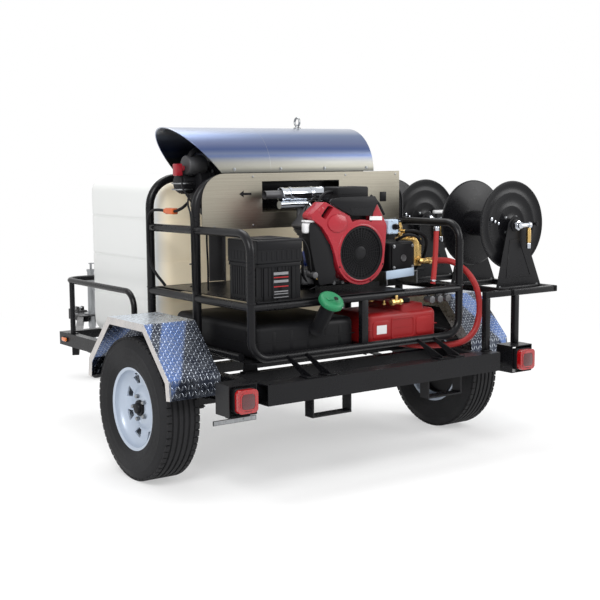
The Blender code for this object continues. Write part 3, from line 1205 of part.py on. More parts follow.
# ------------------------------------------------------------------ heater
def make_heater_shell():
    length = HEATER_RIGHT - HEATER_LEFT
    half = length / 2
    inner = HEATER_R - HEATER_WALL
    mouth = 0.060
    shell = turned([(0.0, half), (HEATER_R, half), (HEATER_R, -half), (mouth, -half), (mouth, -half + HEATER_WALL),
                    (inner, -half + HEATER_WALL), (inner, half - HEATER_WALL), (0.0, half - HEATER_WALL)],
                   ((HEATER_LEFT + HEATER_RIGHT) / 2, HEATER_Y, HEATER_Z), "X", SHELL_STEPS)
    reach = HEATER_Y - ARCH_REAR_Y + 0.010
    for x in (-LUG_X, LUG_X):
        for side in (-1, 1):
            low_y, high_y = sorted((HEATER_Y + side * (inner - 0.020), HEATER_Y + side * reach))
            lug = block((x - 0.030, low_y, LUG_LOW), (x + 0.030, high_y, LUG_LOW + LUG_T))
            cut(lug, rod(inner + HEATER_WALL / 2, 0.200, (x, HEATER_Y, HEATER_Z), "X", SHELL_STEPS))
            fuse(shell, lug)
    finish(shell, "heater_shell", BLACK_PAINT)


def make_heater_coil():
    """The water coil inside the shell, with straight ends that stand on the shell's wall."""
    count = COIL_TURNS * COIL_POINTS
    length = HEATER_RIGHT - HEATER_LEFT - 0.140
    route = []
    for step in range(count + 1):
        angle = 2 * math.pi * step / COIL_POINTS - math.pi / 2
        spot = (HEATER_LEFT + 0.070 + length * step / count, HEATER_Y + COIL_R * math.cos(angle), HEATER_Z + COIL_R * math.sin(angle))
        route.append(Vector(spot))
    reach = (HEATER_R - HEATER_WALL) * math.cos(math.pi / SHELL_STEPS) - COIL_R - FIT
    coil = pipe(route, COIL_TUBE_R, 1)
    for spot in (route[0], route[-1]):
        fuse(coil, box((0.030, 0.020, reach), (spot.x, HEATER_Y, HEATER_Z - COIL_R - reach / 2)))
    finish(coil, "heater_coil", ZINC)


def make_heater_hood():
    """A half-round polished cover with a visor cut at its hot end and a closed far end."""
    long = HOOD_RIGHT - HOOD_LEFT_TOP
    line = arc((HEATER_Y, HOOD_BASE), HOOD_R, 180.0, 0.0, 16)
    hood = plate([band(line, HOOD_SHEET)], long, (HOOD_RIGHT - long / 2, 0.0, 0.0), "YZ")
    end = arc((HEATER_Y, HOOD_BASE + 0.004), HOOD_R - HOOD_SHEET / 2 - 0.002, 180.0, 0.0, 16)
    fuse(hood, plate([end], HOOD_SHEET, (HOOD_RIGHT - 0.004, 0.0, 0.0), "YZ"))
    slope = math.atan2(HOOD_LEFT_LOW - HOOD_LEFT_TOP, HOOD_R)
    reach = 0.500
    normal = Vector((-math.cos(slope), 0.0, -math.sin(slope)))
    corner = Vector((HOOD_LEFT_LOW, HEATER_Y, HOOD_BASE))
    cut(hood, box((2 * reach, 2 * reach, 2 * reach), corner + normal * reach, turn=(0.0, -slope, 0.0)))
    top = HOOD_BASE + HOOD_R
    fuse(hood, rod(0.012, 0.020, (EYE_X, HEATER_Y, top + 0.004), "Z", 12))
    circle = [(EYE_X + a, HEATER_Y, top + 0.034 + b) for a, b in ring((0.0, 0.0), 0.022, 12)]
    fuse(hood, pipe(circle, 0.006, 1, True))
    finish(hood, "heater_hood", MIRROR_STEEL)


def make_heat_panel():
    y = ARCH_REAR_Y - ARCH_R - FIT - PANEL_T / 2
    radius = PANEL_CORNER
    outline = [(PANEL_LEFT, PANEL_LOW), (PANEL_RIGHT, PANEL_LOW), (PANEL_RIGHT, PANEL_TOP)]
    outline += arc((PANEL_LEFT + radius, PANEL_TOP - radius), radius, 90.0, 180.0, 8)
    window = rectangle(WINDOW_LEFT, WINDOW_LOW, WINDOW_RIGHT, WINDOW_TOP)
    finish(plate([outline, window], PANEL_T, (0.0, y, 0.0), "XZ"), "heat_panel", STAINLESS)


def make_burner():
    right = HEATER_LEFT - FIT
    flange = turned([(0.0, 0.0), (0.110, 0.0), (0.110, -0.006), (0.085, -0.006), (0.085, -0.075), (0.070, -0.085),
                     (0.052, -0.085), (0.052, -0.160), (0.044, -0.168), (0.0, -0.168)], (right, HEATER_Y, HEATER_Z), "X", 14)
    nozzle = rod(0.045, 0.060, (right + 0.028, HEATER_Y, HEATER_Z), "X", 12)
    fuse(flange, nozzle)
    fuse(flange, block((right - 0.078, HEATER_Y - 0.030, HEATER_Z - 0.130), (right - 0.020, HEATER_Y + 0.030, HEATER_Z - 0.060), 0.008, 1))
    fuse(flange, block((right - 0.150, HEATER_Y - 0.030, HEATER_Z + 0.040), (right - 0.095, HEATER_Y + 0.030, HEATER_Z + 0.060)))
    finish(flange, "burner", BLACK_CAST)

    low = HEATER_Z + 0.060 + FIT
    igniter = block((right - 0.158, HEATER_Y - 0.038, low), (right - 0.100, HEATER_Y + 0.030, low + 0.058), 0.006, 1)
    fuse(igniter, rod(0.008, 0.020, (right - 0.130, HEATER_Y, low + 0.062), "Z", 8))
    finish(igniter, "burner_igniter", RED_COVER)


# ------------------------------------------------------------------ hose reels
def make_reel_stand():
    tube = STAND_TUBE
    low = STAND_TOP - tube
    inner = POST_IN - tube / 2
    stand = block((inner, STAND_REAR, low), (STAND_RIGHT, STAND_REAR + tube, STAND_TOP))
    fuse(stand, block((inner, STAND_FRONT - tube, low), (STAND_RIGHT, STAND_FRONT, STAND_TOP)))
    for x in (STAND_LEFT, STAND_RIGHT - tube / 2):
        fuse(stand, block((x - tube / 2, STAND_REAR, low), (x + tube / 2, STAND_FRONT, STAND_TOP)))
    for y_reel in REEL_PLACES:
        for side in (-1, 1):
            y = y_reel + side * (REEL_HALF + STAND_GAP)
            fuse(stand, block((STAND_LEFT, y - tube / 2, low + 0.001), (STAND_RIGHT - LAP, y + tube / 2, STAND_TOP - 0.001)))
            outline = [(STAND_LEFT, STAND_TOP - 2 * LAP), (STAND_RIGHT - LAP, STAND_TOP - 2 * LAP), (REEL_X + 0.050, REEL_Z + 0.010)]
            outline += arc((REEL_X, REEL_Z), 0.048, 20.0, 160.0, 4) + [(REEL_X - 0.050, REEL_Z + 0.010)]
            hole = ring((REEL_X, REEL_Z), REEL_SHAFT_R + RUN, 12)
            fuse(stand, plate([outline, hole], STAND_PLATE, (0.0, y, 0.0), "XZ"))
    rear_post = STAND_REAR + tube / 2
    fuse(stand, block((POST_IN - tube / 2, rear_post - tube / 2, BEAM_TOP + FIT), (POST_IN + tube / 2, rear_post + tube / 2, low + LAP)))
    fuse(stand, block((POST_OUT - tube / 2, rear_post - tube / 2, LIGHT_TOP + FIT), (POST_OUT + tube / 2, rear_post + tube / 2, low + LAP)))
    front_post = STAND_FRONT - tube / 2
    fuse(stand, block((POST_IN - tube / 2, front_post - tube / 2, RAIL_TOP + FIT), (POST_IN + tube / 2, front_post + tube / 2, low + LAP)))
    finish(stand, "reel_stand", BLACK_PAINT)


def make_reel(y, name):
    sheet = REEL_SHEET
    half = REEL_HALF
    end = half + STAND_GAP + STAND_PLATE / 2 + 0.012
    profile = [(0.0, end), (REEL_SHAFT_R, end), (REEL_SHAFT_R, half), (REEL_R - 0.008, half),
               (REEL_R, half + 0.006), (REEL_R - 0.004, half - sheet), (REEL_DRUM_R, half - sheet)]
    profile += [(radius, -height) for radius, height in reversed(profile)]
    reel = turned(profile, (REEL_X, y, REEL_Z), "Y", REEL_STEPS)
    fuse(reel, rod(0.012, 0.022, (REEL_X + 0.185, y - half - 0.009, REEL_Z), "Y", 10))
    finish(reel, name, BLACK_PAINT, (REEL_X, y, REEL_Z))


def make_swivel(y, name):
    """The inlet elbow on a reel shaft's rear end, with its hanging fitting."""
    rear = y - REEL_HALF - STAND_GAP - STAND_PLATE / 2 - 0.012 - FIT
    body = rod(0.017, 0.034, (REEL_X, rear - 0.017, REEL_Z), "Y", 12)
    fuse(body, rod(0.013, 0.050, (REEL_X + 0.020, rear - 0.022, REEL_Z), "X", 10))
    fuse(body, rod(0.012, 0.060, (REEL_X + 0.044, rear - 0.022, REEL_Z - 0.018), "Z", 8))
    finish(body, name, CHROME)


def make_all():
    make_trailer_frame()
    make_axle()
    for side, word in ((-1, "left"), (1, "right")):
        make_leaf_spring(side, word + "_leaf_spring")
        make_tyre(side, word + "_tyre")
        make_rim(side, word + "_rim")
        make_fender(side, word + "_fender")
        make_tail_light(side, word + "_tail_light")
        make_marker(side, word + "_marker_light")
    make_coupler()
    make_coupler_latch()
    make_jack()
    make_guard_rail()
    make_skid_frame()
    make_engine_deck()
    make_water_tank()
    make_diesel_tank()
    make_fuel_can()
    make_battery()
    make_engine_block()
    make_engine_shroud()
    make_fan_screen()
    make_crankshaft()
    make_air_cleaner()
    make_muffler()
    make_oil_filter()
    make_controls()
    make_pump()
    make_belt_and_guard()
    make_suction_hose()
    make_heater_shell()
    make_heater_coil()
    make_heater_hood()
    make_heat_panel()
    make_burner()
    make_reel_stand()
    for y, word in zip(REEL_PLACES, ("rear", "front")):
        make_reel(y, word + "_reel")
        make_swivel(y, word + "_swivel")


make_all()
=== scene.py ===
"""Looks of the trailer pressure washer: finishes for the frame's nodes and detailed pieces over them.

The file is laid out as an add-on and is run as a script. Metres, +Z up, +Y towards the hitch.
"""

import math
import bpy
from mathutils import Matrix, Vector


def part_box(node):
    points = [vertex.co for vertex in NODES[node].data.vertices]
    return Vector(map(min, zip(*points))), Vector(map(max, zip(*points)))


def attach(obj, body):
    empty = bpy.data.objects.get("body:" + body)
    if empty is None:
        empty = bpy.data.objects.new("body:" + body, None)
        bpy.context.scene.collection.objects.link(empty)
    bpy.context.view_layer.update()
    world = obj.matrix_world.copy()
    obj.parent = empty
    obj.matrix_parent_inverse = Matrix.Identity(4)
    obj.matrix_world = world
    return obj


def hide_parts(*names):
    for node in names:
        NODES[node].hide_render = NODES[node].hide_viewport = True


bl_info = {
    "name": "Trailer pressure washer looks",
    "version": (1, 0, 0),
    "blender": (4, 5, 0),
    "location": "3D View > Sidebar > Washer",
    "description": "Builds the detailed pieces and finishes of a trailer pressure washer",
    "category": "Object",
}

import bpy
from bpy.props import FloatProperty, FloatVectorProperty, IntProperty, PointerProperty
from mathutils import Matrix, Vector

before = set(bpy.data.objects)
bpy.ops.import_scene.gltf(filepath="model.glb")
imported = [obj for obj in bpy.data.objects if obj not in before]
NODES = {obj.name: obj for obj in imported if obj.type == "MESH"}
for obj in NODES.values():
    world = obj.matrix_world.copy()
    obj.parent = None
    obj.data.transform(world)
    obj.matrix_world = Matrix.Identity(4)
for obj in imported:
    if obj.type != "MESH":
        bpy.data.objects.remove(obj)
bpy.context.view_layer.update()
SHIFT = Vector((-0.0875, -1.0675, 0.0))   # from the point under the axle's middle to the frame's origin
TURN = {"X": (0.0, math.pi / 2, 0.0), "Y": (-math.pi / 2, 0.0, 0.0), "Z": (0.0, 0.0, 0.0)}
AXES = {"X": Vector((1, 0, 0)), "Y": Vector((0, 1, 0)), "Z": Vector((0, 0, 1))}
LIE = {"XY": (0.0, 0.0, 0.0), "XZ": (math.pi / 2, 0.0, 0.0), "YZ": (math.pi / 2, 0.0, math.pi / 2)}
TINY = 0.00001
FRAME_TOP, DECK_TOP = 0.5103, 0.8643          # rests of the tank and skid, and of the engine and pump
POD_BASE, POD_TOP = 0.5816, 0.7466            # diesel tank and fuel can
TYRE_RADIUS, BEAD_RADIUS = 0.3438, 0.1925
HOOD_BASE, HOOD_RADIUS = 1.4486, 0.228
FINISHES = {}
SLOTS_BY_FINISH = {
    "amber_lens": ("left_marker_light", "right_marker_light"),
    "belt_rubber": ("drive_belt",),
    "black_casting": ("burner", "pump_body"),
    "black_paint": ("axle_beam", "belt_guard", "coupler", "engine_deck", "front_reel", "guard_rail",
                    "heater_shell", "left_leaf_spring", "rear_reel", "reel_stand", "right_leaf_spring",
                    "skid_frame", "trailer_frame"),
    "black_polyethylene": ("air_cleaner", "battery", "battery_case", "battery_lid", "control_key",
                           "diesel_tank", "fan_screen", "fuel_cap", "jack_wheel", "tank_lid"),
    "blue_paint": ("oil_filter",),
    "brass": ("pump_manifold",),
    "brushed_stainless": ("heat_panel",),
    "chrome": ("front_swivel", "muffler", "rear_swivel"),
    "green_cap": ("diesel_cap",),
    "grey_casting": ("engine_block",),
    "pale_plate": ("control_box",),
    "polished_stainless": ("heater_hood",),
    "red_engine_cover": ("burner_igniter", "engine_shroud"),
    "red_hose": ("suction_hose",),
    "red_lens": ("left_tail_light", "right_tail_light"),
    "red_polyethylene": ("fuel_can",),
    "tread_plate": ("left_fender", "right_fender"),
    "tyre_rubber": ("left_tyre", "right_tyre"),
    "white_paint": ("left_rim", "right_rim"),
    "white_polyethylene": ("water_tank",),
    "zinc_plate": ("coupler_latch", "crankshaft", "heater_coil", "jack_crank", "jack_fork", "jack_leg",
                   "jack_tube", "pump_bracket", "pump_pulley"),
}
SLOTS = {node: slot for slot, nodes in SLOTS_BY_FINISH.items() for node in nodes}


# ------------------------------------------------------------------ sizes and colours that a user may change
def length(name, text, value):
    return FloatProperty(name=name, description=text, default=value, min=0.0, unit="LENGTH",
                         subtype="DISTANCE")


def colour(name, text, value):
    return FloatVectorProperty(name=name, description=text, default=value, size=3, min=0.0, max=1.0,
                               subtype="COLOR")


class WasherSizes(bpy.types.PropertyGroup):
    tread_depth: length("Tread depth", "Depth of the grooves in the tyres", 0.008)
    tread_blocks: IntProperty(name="Tread blocks", description="Blocks round one tyre shoulder", default=60,
                              min=12)
    tube_sides: IntProperty(name="Tube sides", description="Sides of a round frame tube", default=20, min=8)
    cable: length("Cable", "Thickness of the burner's cable", 0.009)
    lead: length("Plug lead", "Thickness of a spark plug lead", 0.007)
    bolt: length("Bolt head", "Width across a small bolt head", 0.014)
    screen_slots: IntProperty(name="Screen ribs", description="Ribs across the fan screen", default=12, min=4)


class WasherColours(bpy.types.PropertyGroup):
    frame_black: colour("Frame black", "Powder coat of the frame", (0.005, 0.005, 0.006))
    engine_red: colour("Engine red", "Blower cover of the engine", (0.36, 0.018, 0.03))
    can_red: colour("Fuel can red", "Plastic of the fuel can", (0.34, 0.012, 0.014))
    hose_red: colour("Hose red", "Rubber of the suction hose", (0.34, 0.022, 0.022))
    cap_green: colour("Cap green", "Diesel cap", (0.02, 0.2, 0.085))
    tank_white: colour("Tank white", "Plastic of the water tank", (0.74, 0.75, 0.74))
    rim_white: colour("Rim white", "Paint of the rims", (0.42, 0.48, 0.57))
    plate_metal: colour("Tread plate", "Bright aluminium of the fenders", (0.62, 0.67, 0.74))
    hood_metal: colour("Hood steel", "Mirror steel of the hood", (0.88, 0.88, 0.88))
    panel_metal: colour("Panel steel", "Brushed steel of the heat panel", (0.36, 0.335, 0.275))


def sizes():
    return bpy.context.scene.washer_sizes


# ------------------------------------------------------------------ modelling helpers
def fresh():
    """Object mode with nothing selected, because an operator acts on all that is selected."""
    if bpy.context.object and bpy.context.object.mode != "OBJECT":
        bpy.ops.object.mode_set(mode="OBJECT")
    bpy.ops.object.select_all(action="DESELECT")


def only(made):
    fresh()
    made.select_set(True)
    bpy.context.view_layer.objects.active = made
    return made


def settle(made):
    """Put an object's place, turn and size into its mesh."""
    only(made)
    bpy.ops.object.transform_apply(location=True, rotation=True, scale=True)
    return made


def worked(made, kind, **settings):
    """Add one modifier with its settings and apply it."""
    only(made)
    step = made.modifiers.new(kind.lower(), kind)
    for key, value in settings.items():
        setattr(step, key, value)
    bpy.ops.object.modifier_apply(modifier=step.name)
    return made


def soften(made, width, steps=3, angle=35.0):
    return worked(made, "BEVEL", width=width, segments=steps, limit_method="ANGLE",
                  angle_limit=math.radians(angle), use_clamp_overlap=True)


def tidy(made, near=2.5 * TINY):
    """Merge doubled points and turn all faces outwards."""
    only(made)
    bpy.ops.object.mode_set(mode="EDIT")
    bpy.ops.mesh.select_all(action="SELECT")
    bpy.ops.mesh.remove_doubles(threshold=near)
    bpy.ops.mesh.normals_make_consistent(inside=False)
    bpy.ops.object.mode_set(mode="OBJECT")
    return made


def cube(low, high, round_by=0.0, steps=3, turn=(0.0, 0.0, 0.0)):
    fresh()
    low, high = Vector(low), Vector(high)
    bpy.ops.mesh.primitive_cube_add(size=1.0, location=(low + high) / 2, rotation=turn)
    made = bpy.context.object
    made.scale = high - low
    settle(made)
    return soften(made, round_by, steps) if round_by else made


def drum(radius, depth, centre, axis="Z", sides=32, round_by=0.0, end_radius=None, turn=None):
    fresh()
    far = radius if end_radius is None else end_radius
    bpy.ops.mesh.primitive_cone_add(vertices=sides, radius1=radius, radius2=far, depth=depth,
                                    location=centre, rotation=turn or TURN[axis])
    made = settle(bpy.context.object)
    return soften(made, round_by, 2) if round_by else made


def lathe(profile, centre=(0.0, 0.0, 0.0), axis="Z", sides=48, turn=None):
    """A ring that is drawn out and resized along (radius, height) points, merged where it meets itself."""
    fresh()
    points = [(max(radius, TINY), height) for radius, height in profile]
    bpy.ops.mesh.primitive_circle_add(vertices=sides, radius=points[0][0], location=(0.0, 0.0, points[0][1]))
    made = bpy.context.object
    bpy.ops.object.mode_set(mode="EDIT")
    for (before, low), (after, high) in zip(points, points[1:]):
        bpy.ops.mesh.extrude_region_move(TRANSFORM_OT_translate={"value": (0.0, 0.0, high - low)})
        ratio = after / before
        bpy.ops.transform.resize(value=(ratio, ratio, 1.0), center_override=(0.0, 0.0, high))
    bpy.ops.object.mode_set(mode="OBJECT")
    settle(tidy(made))
    made.rotation_euler = turn or TURN[axis]
    made.location = centre
    return settle(made)


def band(inner, outer, low, high, *place, **settings):
    """A ring of rectangular section between two radii and two heights."""
    section = [(inner, low), (outer, low), (outer, high), (inner, high), (inner, low)]
    return lathe(section, *place, **settings)


def flat_curve(outlines, thickness):
    data = bpy.data.curves.new("outline", "CURVE")
    data.dimensions = "2D"
    data.fill_mode = "BOTH"
    data.extrude = thickness / 2
    for outline in outlines:
        line = data.splines.new("POLY")
        line.points.add(len(outline) - 1)
        for point, spot in zip(line.points, outline):
            point.co = (*spot, 0.0, 1.0)
        line.use_cyclic_u = True
    made = bpy.data.objects.new("outline", data)
    bpy.context.scene.collection.objects.link(made)
    return made


def slab(outlines, thickness, centre=(0.0, 0.0, 0.0), plane="XY", round_by=0.0, steps=2):
    """A plate cut to its outlines; each further outline is a hole."""
    made = only(flat_curve(outlines, thickness))
    bpy.ops.object.convert(target="MESH")
    made = tidy(bpy.context.object)
    made.rotation_euler = LIE[plane]
    made.location = centre
    settle(made)
    return soften(made, round_by, steps, 50.0) if round_by else made


def upright(outlines, thickness, y, *rounding):
    """A plate that stands across the trailer, its middle at y."""
    return slab(outlines, thickness, (0.0, y, 0.0), "XZ", *rounding)


def tube(points, radius, closed=False, sides=None):
    """A round tube along points."""
    data = bpy.data.curves.new("route", "CURVE")
    data.dimensions = "3D"
    line = data.splines.new("POLY")
    line.points.add(len(points) - 1)
    for point, spot in zip(line.points, points):
        point.co = (*spot, 1.0)
    line.use_cyclic_u = closed
    data.bevel_depth = radius
    data.bevel_resolution = ((sides or sizes().tube_sides) - 4) // 2
    data.use_fill_caps = not closed
    made = bpy.data.objects.new("route", data)
    bpy.context.scene.collection.objects.link(made)
    only(made)
    bpy.ops.object.convert(target="MESH")
    return tidy(bpy.context.object)


def carved(target, *tools, way="DIFFERENCE"):
    for tool in tools:
        worked(target, "BOOLEAN", operation=way, solver="EXACT", object=tool)
        bpy.data.objects.remove(tool, do_unlink=True)
    return target


def joined(first, *others):
    only(first)
    for other in others:
        other.select_set(True)
    bpy.ops.object.join()
    return bpy.context.object


def copied(made, shift=(0.0, 0.0, 0.0), spin=0.0, axis="Z", about=(0.0, 0.0, 0.0)):
    """A copy with a mesh of its own, turned about an axis through a point and moved."""
    twin = made.copy()
    twin.data = made.data.copy()
    bpy.context.scene.collection.objects.link(twin)
    about = Vector(about)
    turn = Matrix.Translation(about) @ Matrix.Rotation(spin, 4, axis) @ Matrix.Translation(-about)
    twin.data.transform(Matrix.Translation(Vector(shift)) @ turn)
    return twin


def rounds(made, count, axis="Z", about=(0.0, 0.0, 0.0)):
    """Copies of a piece spaced evenly round an axis, joined to it."""
    twins = [copied(made, spin=2 * math.pi * index / count, axis=axis, about=about)
             for index in range(1, count)]
    return joined(made, *twins)


def finish(made, name, surface, *stands_for, body="trailer", angle=35.0):
    """Name a piece or a list of parts, move it to the frame's place, shade it, finish it and let it ride."""
    made = settle(joined(*made) if isinstance(made, list) else made)
    made.data.transform(Matrix.Translation(SHIFT))
    made.name = name
    made.data.name = name
    made.data.materials.clear()
    made.data.materials.append(FINISHES[surface])
    only(made)
    bpy.ops.object.shade_smooth_by_angle(angle=math.radians(angle))
    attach(made, body)
    if stands_for:
        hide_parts(*stands_for)
    return made


def arc(centre, radius, start, end, steps):
    angles = [math.radians(start + (end - start) * step / steps) for step in range(steps + 1)]
    return [(centre[0] + radius * math.cos(a), centre[1] + radius * math.sin(a)) for a in angles]


def circle(centre, radius, sides=40):
    return arc(centre, radius, 0.0, 360.0 * (sides - 1) / sides, sides - 1)


def box_line(left, low, right, high, corner=0.0, steps=5):
    """A rectangle's outline, with round corners if asked."""
    if not corner:
        return [(left, low), (right, low), (right, high), (left, high)]
    return (arc((right - corner, low + corner), corner, -90.0, 0.0, steps)
            + arc((right - corner, high - corner), corner, 0.0, 90.0, steps)
            + arc((left + corner, high - corner), corner, 90.0, 180.0, steps)
            + arc((left + corner, low + corner), corner, 180.0, 270.0, steps))


def around(x, y, z, radius, angles):
    """Places on an upright circle that faces the rear."""
    return [(x + radius * math.cos(angle), y, z + radius * math.sin(angle)) for angle in angles]


def square(x, z, half, corner, steps=8):
    return box_line(x - half, z - half, x + half, z + half, corner, steps)


def bent(corners, bend, steps=8):
    """Points along straight runs that are joined by round bends."""
    corners = [Vector(corner) for corner in corners]
    route = [corners[0]]
    for before, corner, after in zip(corners, corners[1:], corners[2:]):
        back = (before - corner).normalized()
        ahead = (after - corner).normalized()
        half = back.angle(ahead) / 2
        centre = corner + (back + ahead).normalized() * (bend / math.sin(half))
        start = corner + back * (bend / math.tan(half)) - centre
        axis = start.cross(corner + ahead * (bend / math.tan(half)) - centre)
        sweep = math.pi - 2 * half
        route += [centre + Matrix.Rotation(sweep * step / steps, 3, axis) @ start
                  for step in range(steps + 1)]
    return route + [corners[-1]]


def flowing(knots, count):
    """Points on one smooth curve through the knots."""
    knots = [Vector(knot) for knot in knots]
    ends = [2 * knots[0] - knots[1]] + knots + [2 * knots[-1] - knots[-2]]
    route = []
    for step in range(count + 1):
        along = min(step / count * (len(knots) - 1), len(knots) - 1 - 1e-9)
        index = int(along)
        t = along - index
        a, b, c, d = ends[index:index + 4]
        route.append(0.5 * (2 * b + (c - a) * t + (2 * a - 5 * b + 4 * c - d) * t * t
                            + (3 * b - a - 3 * c + d) * t ** 3))
    return route


def cord(knots, count, radius, sides):
    """A hose or cable through the knots."""
    return tube(flowing(knots, count), radius, sides=sides)


def bolts(spots, axis, width=None, height=0.006, washer=True):
    """Hexagon heads with washers at a list of places, as one piece."""
    width = width or sizes().bolt
    made = []
    reach = AXES[axis[-1]]
    side = -1.0 if axis.startswith("-") else 1.0
    for spot in spots:
        spot = Vector(spot)
        made.append(drum(width / 2, height, spot + reach * side * height / 2, axis[-1], 6, 0.0008))
        if washer:
            made.append(drum(width * 0.72, 0.0016, spot + reach * side * 0.0008, axis[-1], 20))
    return joined(*made) if len(made) > 1 else made[0]


# ------------------------------------------------------------------ finishes
def group(name, inputs, outputs):
    tree = bpy.data.node_groups.new(name, "ShaderNodeTree")
    for label, kind, value in inputs:
        socket = tree.interface.new_socket(name=label, in_out="INPUT", socket_type=kind)
        if value is not None:
            socket.default_value = value
    for label, kind in outputs:
        tree.interface.new_socket(name=label, in_out="OUTPUT", socket_type=kind)
    start = tree.nodes.new("NodeGroupInput")
    end = tree.nodes.new("NodeGroupOutput")
    return tree, start.outputs, end.inputs


def maths(tree, operation, first, second=0.0):
    node = tree.nodes.new("ShaderNodeMath")
    node.operation = operation
    for socket, value in zip(node.inputs, (first, second)):
        if isinstance(value, (int, float)):
            socket.default_value = value
        else:
            tree.links.new(value, socket)
    return node.outputs[0]


def times(tree, first, second):
    return maths(tree, "MULTIPLY", first, second)


def plus(tree, first, second):
    return maths(tree, "ADD", first, second)


def minus(tree, first, second):
    return maths(tree, "SUBTRACT", first, second)


def separate(tree, vector):
    node = tree.nodes.new("ShaderNodeSeparateXYZ")
    tree.links.new(vector, node.inputs[0])
    return node.outputs


def ramped(tree, factor, stops):
    """Colours along a factor, from (position, colour) stops."""
    node = tree.nodes.new("ShaderNodeValToRGB")
    tree.links.new(factor, node.inputs["Fac"])
    elements = node.color_ramp.elements
    while len(elements) < len(stops):
        elements.new(0.5)
    for element, (position, hue) in zip(elements, stops):
        element.position = position
        element.color = (*hue, 1.0)
    return node.outputs["Color"]


def noise(tree, vector, scale, detail=3.0):
    node = tree.nodes.new("ShaderNodeTexNoise")
    node.inputs["Detail"].default_value = detail
    tree.links.new(vector, node.inputs["Vector"])
    if isinstance(scale, (int, float)):
        node.inputs["Scale"].default_value = scale
    else:
        tree.links.new(scale, node.inputs["Scale"])
    return node.outputs["Fac"]


def blended(tree, factor, first, second):
    node = tree.nodes.new("ShaderNodeMix")
    node.data_type = "RGBA"
    tree.links.new(factor, node.inputs[0])
    for socket, value in ((node.inputs[6], first), (node.inputs[7], second)):
        if isinstance(value, (tuple, list)):
            socket.default_value = value
        else:
            tree.links.new(value, socket)
    return node.outputs[2]


def spread(tree, value, low, high, to_low=0.0, to_high=1.0):
    node = tree.nodes.new("ShaderNodeMapRange")
    tree.links.new(value, node.inputs["Value"])
    for label, number in zip(("From Min", "From Max", "To Min", "To Max"), (low, high, to_low, to_high)):
        if isinstance(number, (int, float)):
            node.inputs[label].default_value = number
        else:
            tree.links.new(number, node.inputs[label])
    return node.outputs[0]


def grain_group():
    """Fine grain: a roughness between two ends and a height for the bump."""
    tree, given, result = group("washer_grain", [("Vector", "NodeSocketVector", None),
                                                 ("Scale", "NodeSocketFloat", 60.0),
                                                 ("Smooth", "NodeSocketFloat", 0.3),
                                                 ("Rough", "NodeSocketFloat", 0.5)],
                                [("Roughness", "NodeSocketFloat"), ("Height", "NodeSocketFloat")])
    broad = noise(tree, given["Vector"], 3.5, 2.0)
    fine = noise(tree, given["Vector"], given["Scale"], 4.0)
    mixed = plus(tree, times(tree, broad, 0.6), times(tree, fine, 0.4))
    tree.links.new(spread(tree, mixed, 0.35, 0.65, given["Smooth"], given["Rough"]), result["Roughness"])
    tree.links.new(fine, result["Height"])
    return tree


DUST = (0.42, 0.4, 0.37, 1.0)


def tint_group():
    """Uneven colour: broad patches and dust that lies on faces that look up."""
    tree, given, result = group("washer_tint", [("Vector", "NodeSocketVector", None),
                                                ("Color", "NodeSocketColor", None),
                                                ("Shade", "NodeSocketColor", None),
                                                ("Dust", "NodeSocketFloat", 0.1)],
                                [("Color", "NodeSocketColor")])
    broad = spread(tree, noise(tree, given["Vector"], 2.3, 4.0), 0.35, 0.7)
    base = blended(tree, broad, given["Color"], given["Shade"])
    way = tree.nodes.new("ShaderNodeNewGeometry")
    split = separate(tree, way.outputs["Normal"])
    upward = spread(tree, split["Z"], 0.5, 1.0)
    specks = spread(tree, noise(tree, given["Vector"], 9.0, 5.0), 0.35, 0.75)
    dusty = times(tree, times(tree, upward, specks), given["Dust"])
    tree.links.new(blended(tree, dusty, base, DUST), result["Color"])
    return tree


def tread_plate_group():
    """Raised lozenges that lean left and right by turns, for bright floor plate."""
    tree, given, result = group("washer_tread_plate", [("Vector", "NodeSocketVector", None),
                                                       ("Pitch", "NodeSocketFloat", 0.03)],
                                [("Height", "NodeSocketFloat")])
    split = separate(tree, given["Vector"])
    along = minus(tree, maths(tree, "ABSOLUTE", split["Y"]), times(tree, split["Z"], 0.45))
    across = maths(tree, "DIVIDE", split["X"], given["Pitch"])
    along = maths(tree, "DIVIDE", along, given["Pitch"])
    cell = plus(tree, maths(tree, "FLOOR", across), maths(tree, "FLOOR", along))
    lean = minus(tree, times(tree, maths(tree, "FLOORED_MODULO", cell, 2.0), 2.0), 1.0)
    u = minus(tree, maths(tree, "FRACT", across), 0.5)
    v = times(tree, minus(tree, maths(tree, "FRACT", along), 0.5), lean)
    long = maths(tree, "DIVIDE", times(tree, plus(tree, u, v), 0.7071), 0.52)
    short = maths(tree, "DIVIDE", times(tree, minus(tree, u, v), 0.7071), 0.14)
    away = plus(tree, times(tree, long, long), times(tree, short, short))
    tree.links.new(spread(tree, away, 1.0, 0.35), result["Height"])
    return tree


def streak_group():
    """Brushing: noise drawn out along one axis, for roughness, height and a slight change of colour."""
    tree, given, result = group("washer_brushing", [("Vector", "NodeSocketVector", None),
                                                    ("Stretch", "NodeSocketVector", (1.0, 60.0, 60.0)),
                                                    ("Smooth", "NodeSocketFloat", 0.2),
                                                    ("Rough", "NodeSocketFloat", 0.4)],
                                [("Roughness", "NodeSocketFloat"), ("Height", "NodeSocketFloat"),
                                 ("Mask", "NodeSocketFloat")])
    scaled = tree.nodes.new("ShaderNodeVectorMath")
    scaled.operation = "MULTIPLY"
    tree.links.new(given["Vector"], scaled.inputs[0])
    tree.links.new(given["Stretch"], scaled.inputs[1])
    fine = noise(tree, scaled.outputs[0], 9.0, 3.0)
    tree.links.new(spread(tree, fine, 0.3, 0.7, given["Smooth"], given["Rough"]), result["Roughness"])
    tree.links.new(fine, result["Height"])
    tree.links.new(spread(tree, noise(tree, scaled.outputs[0], 2.0, 2.0), 0.35, 0.65), result["Mask"])
    return tree


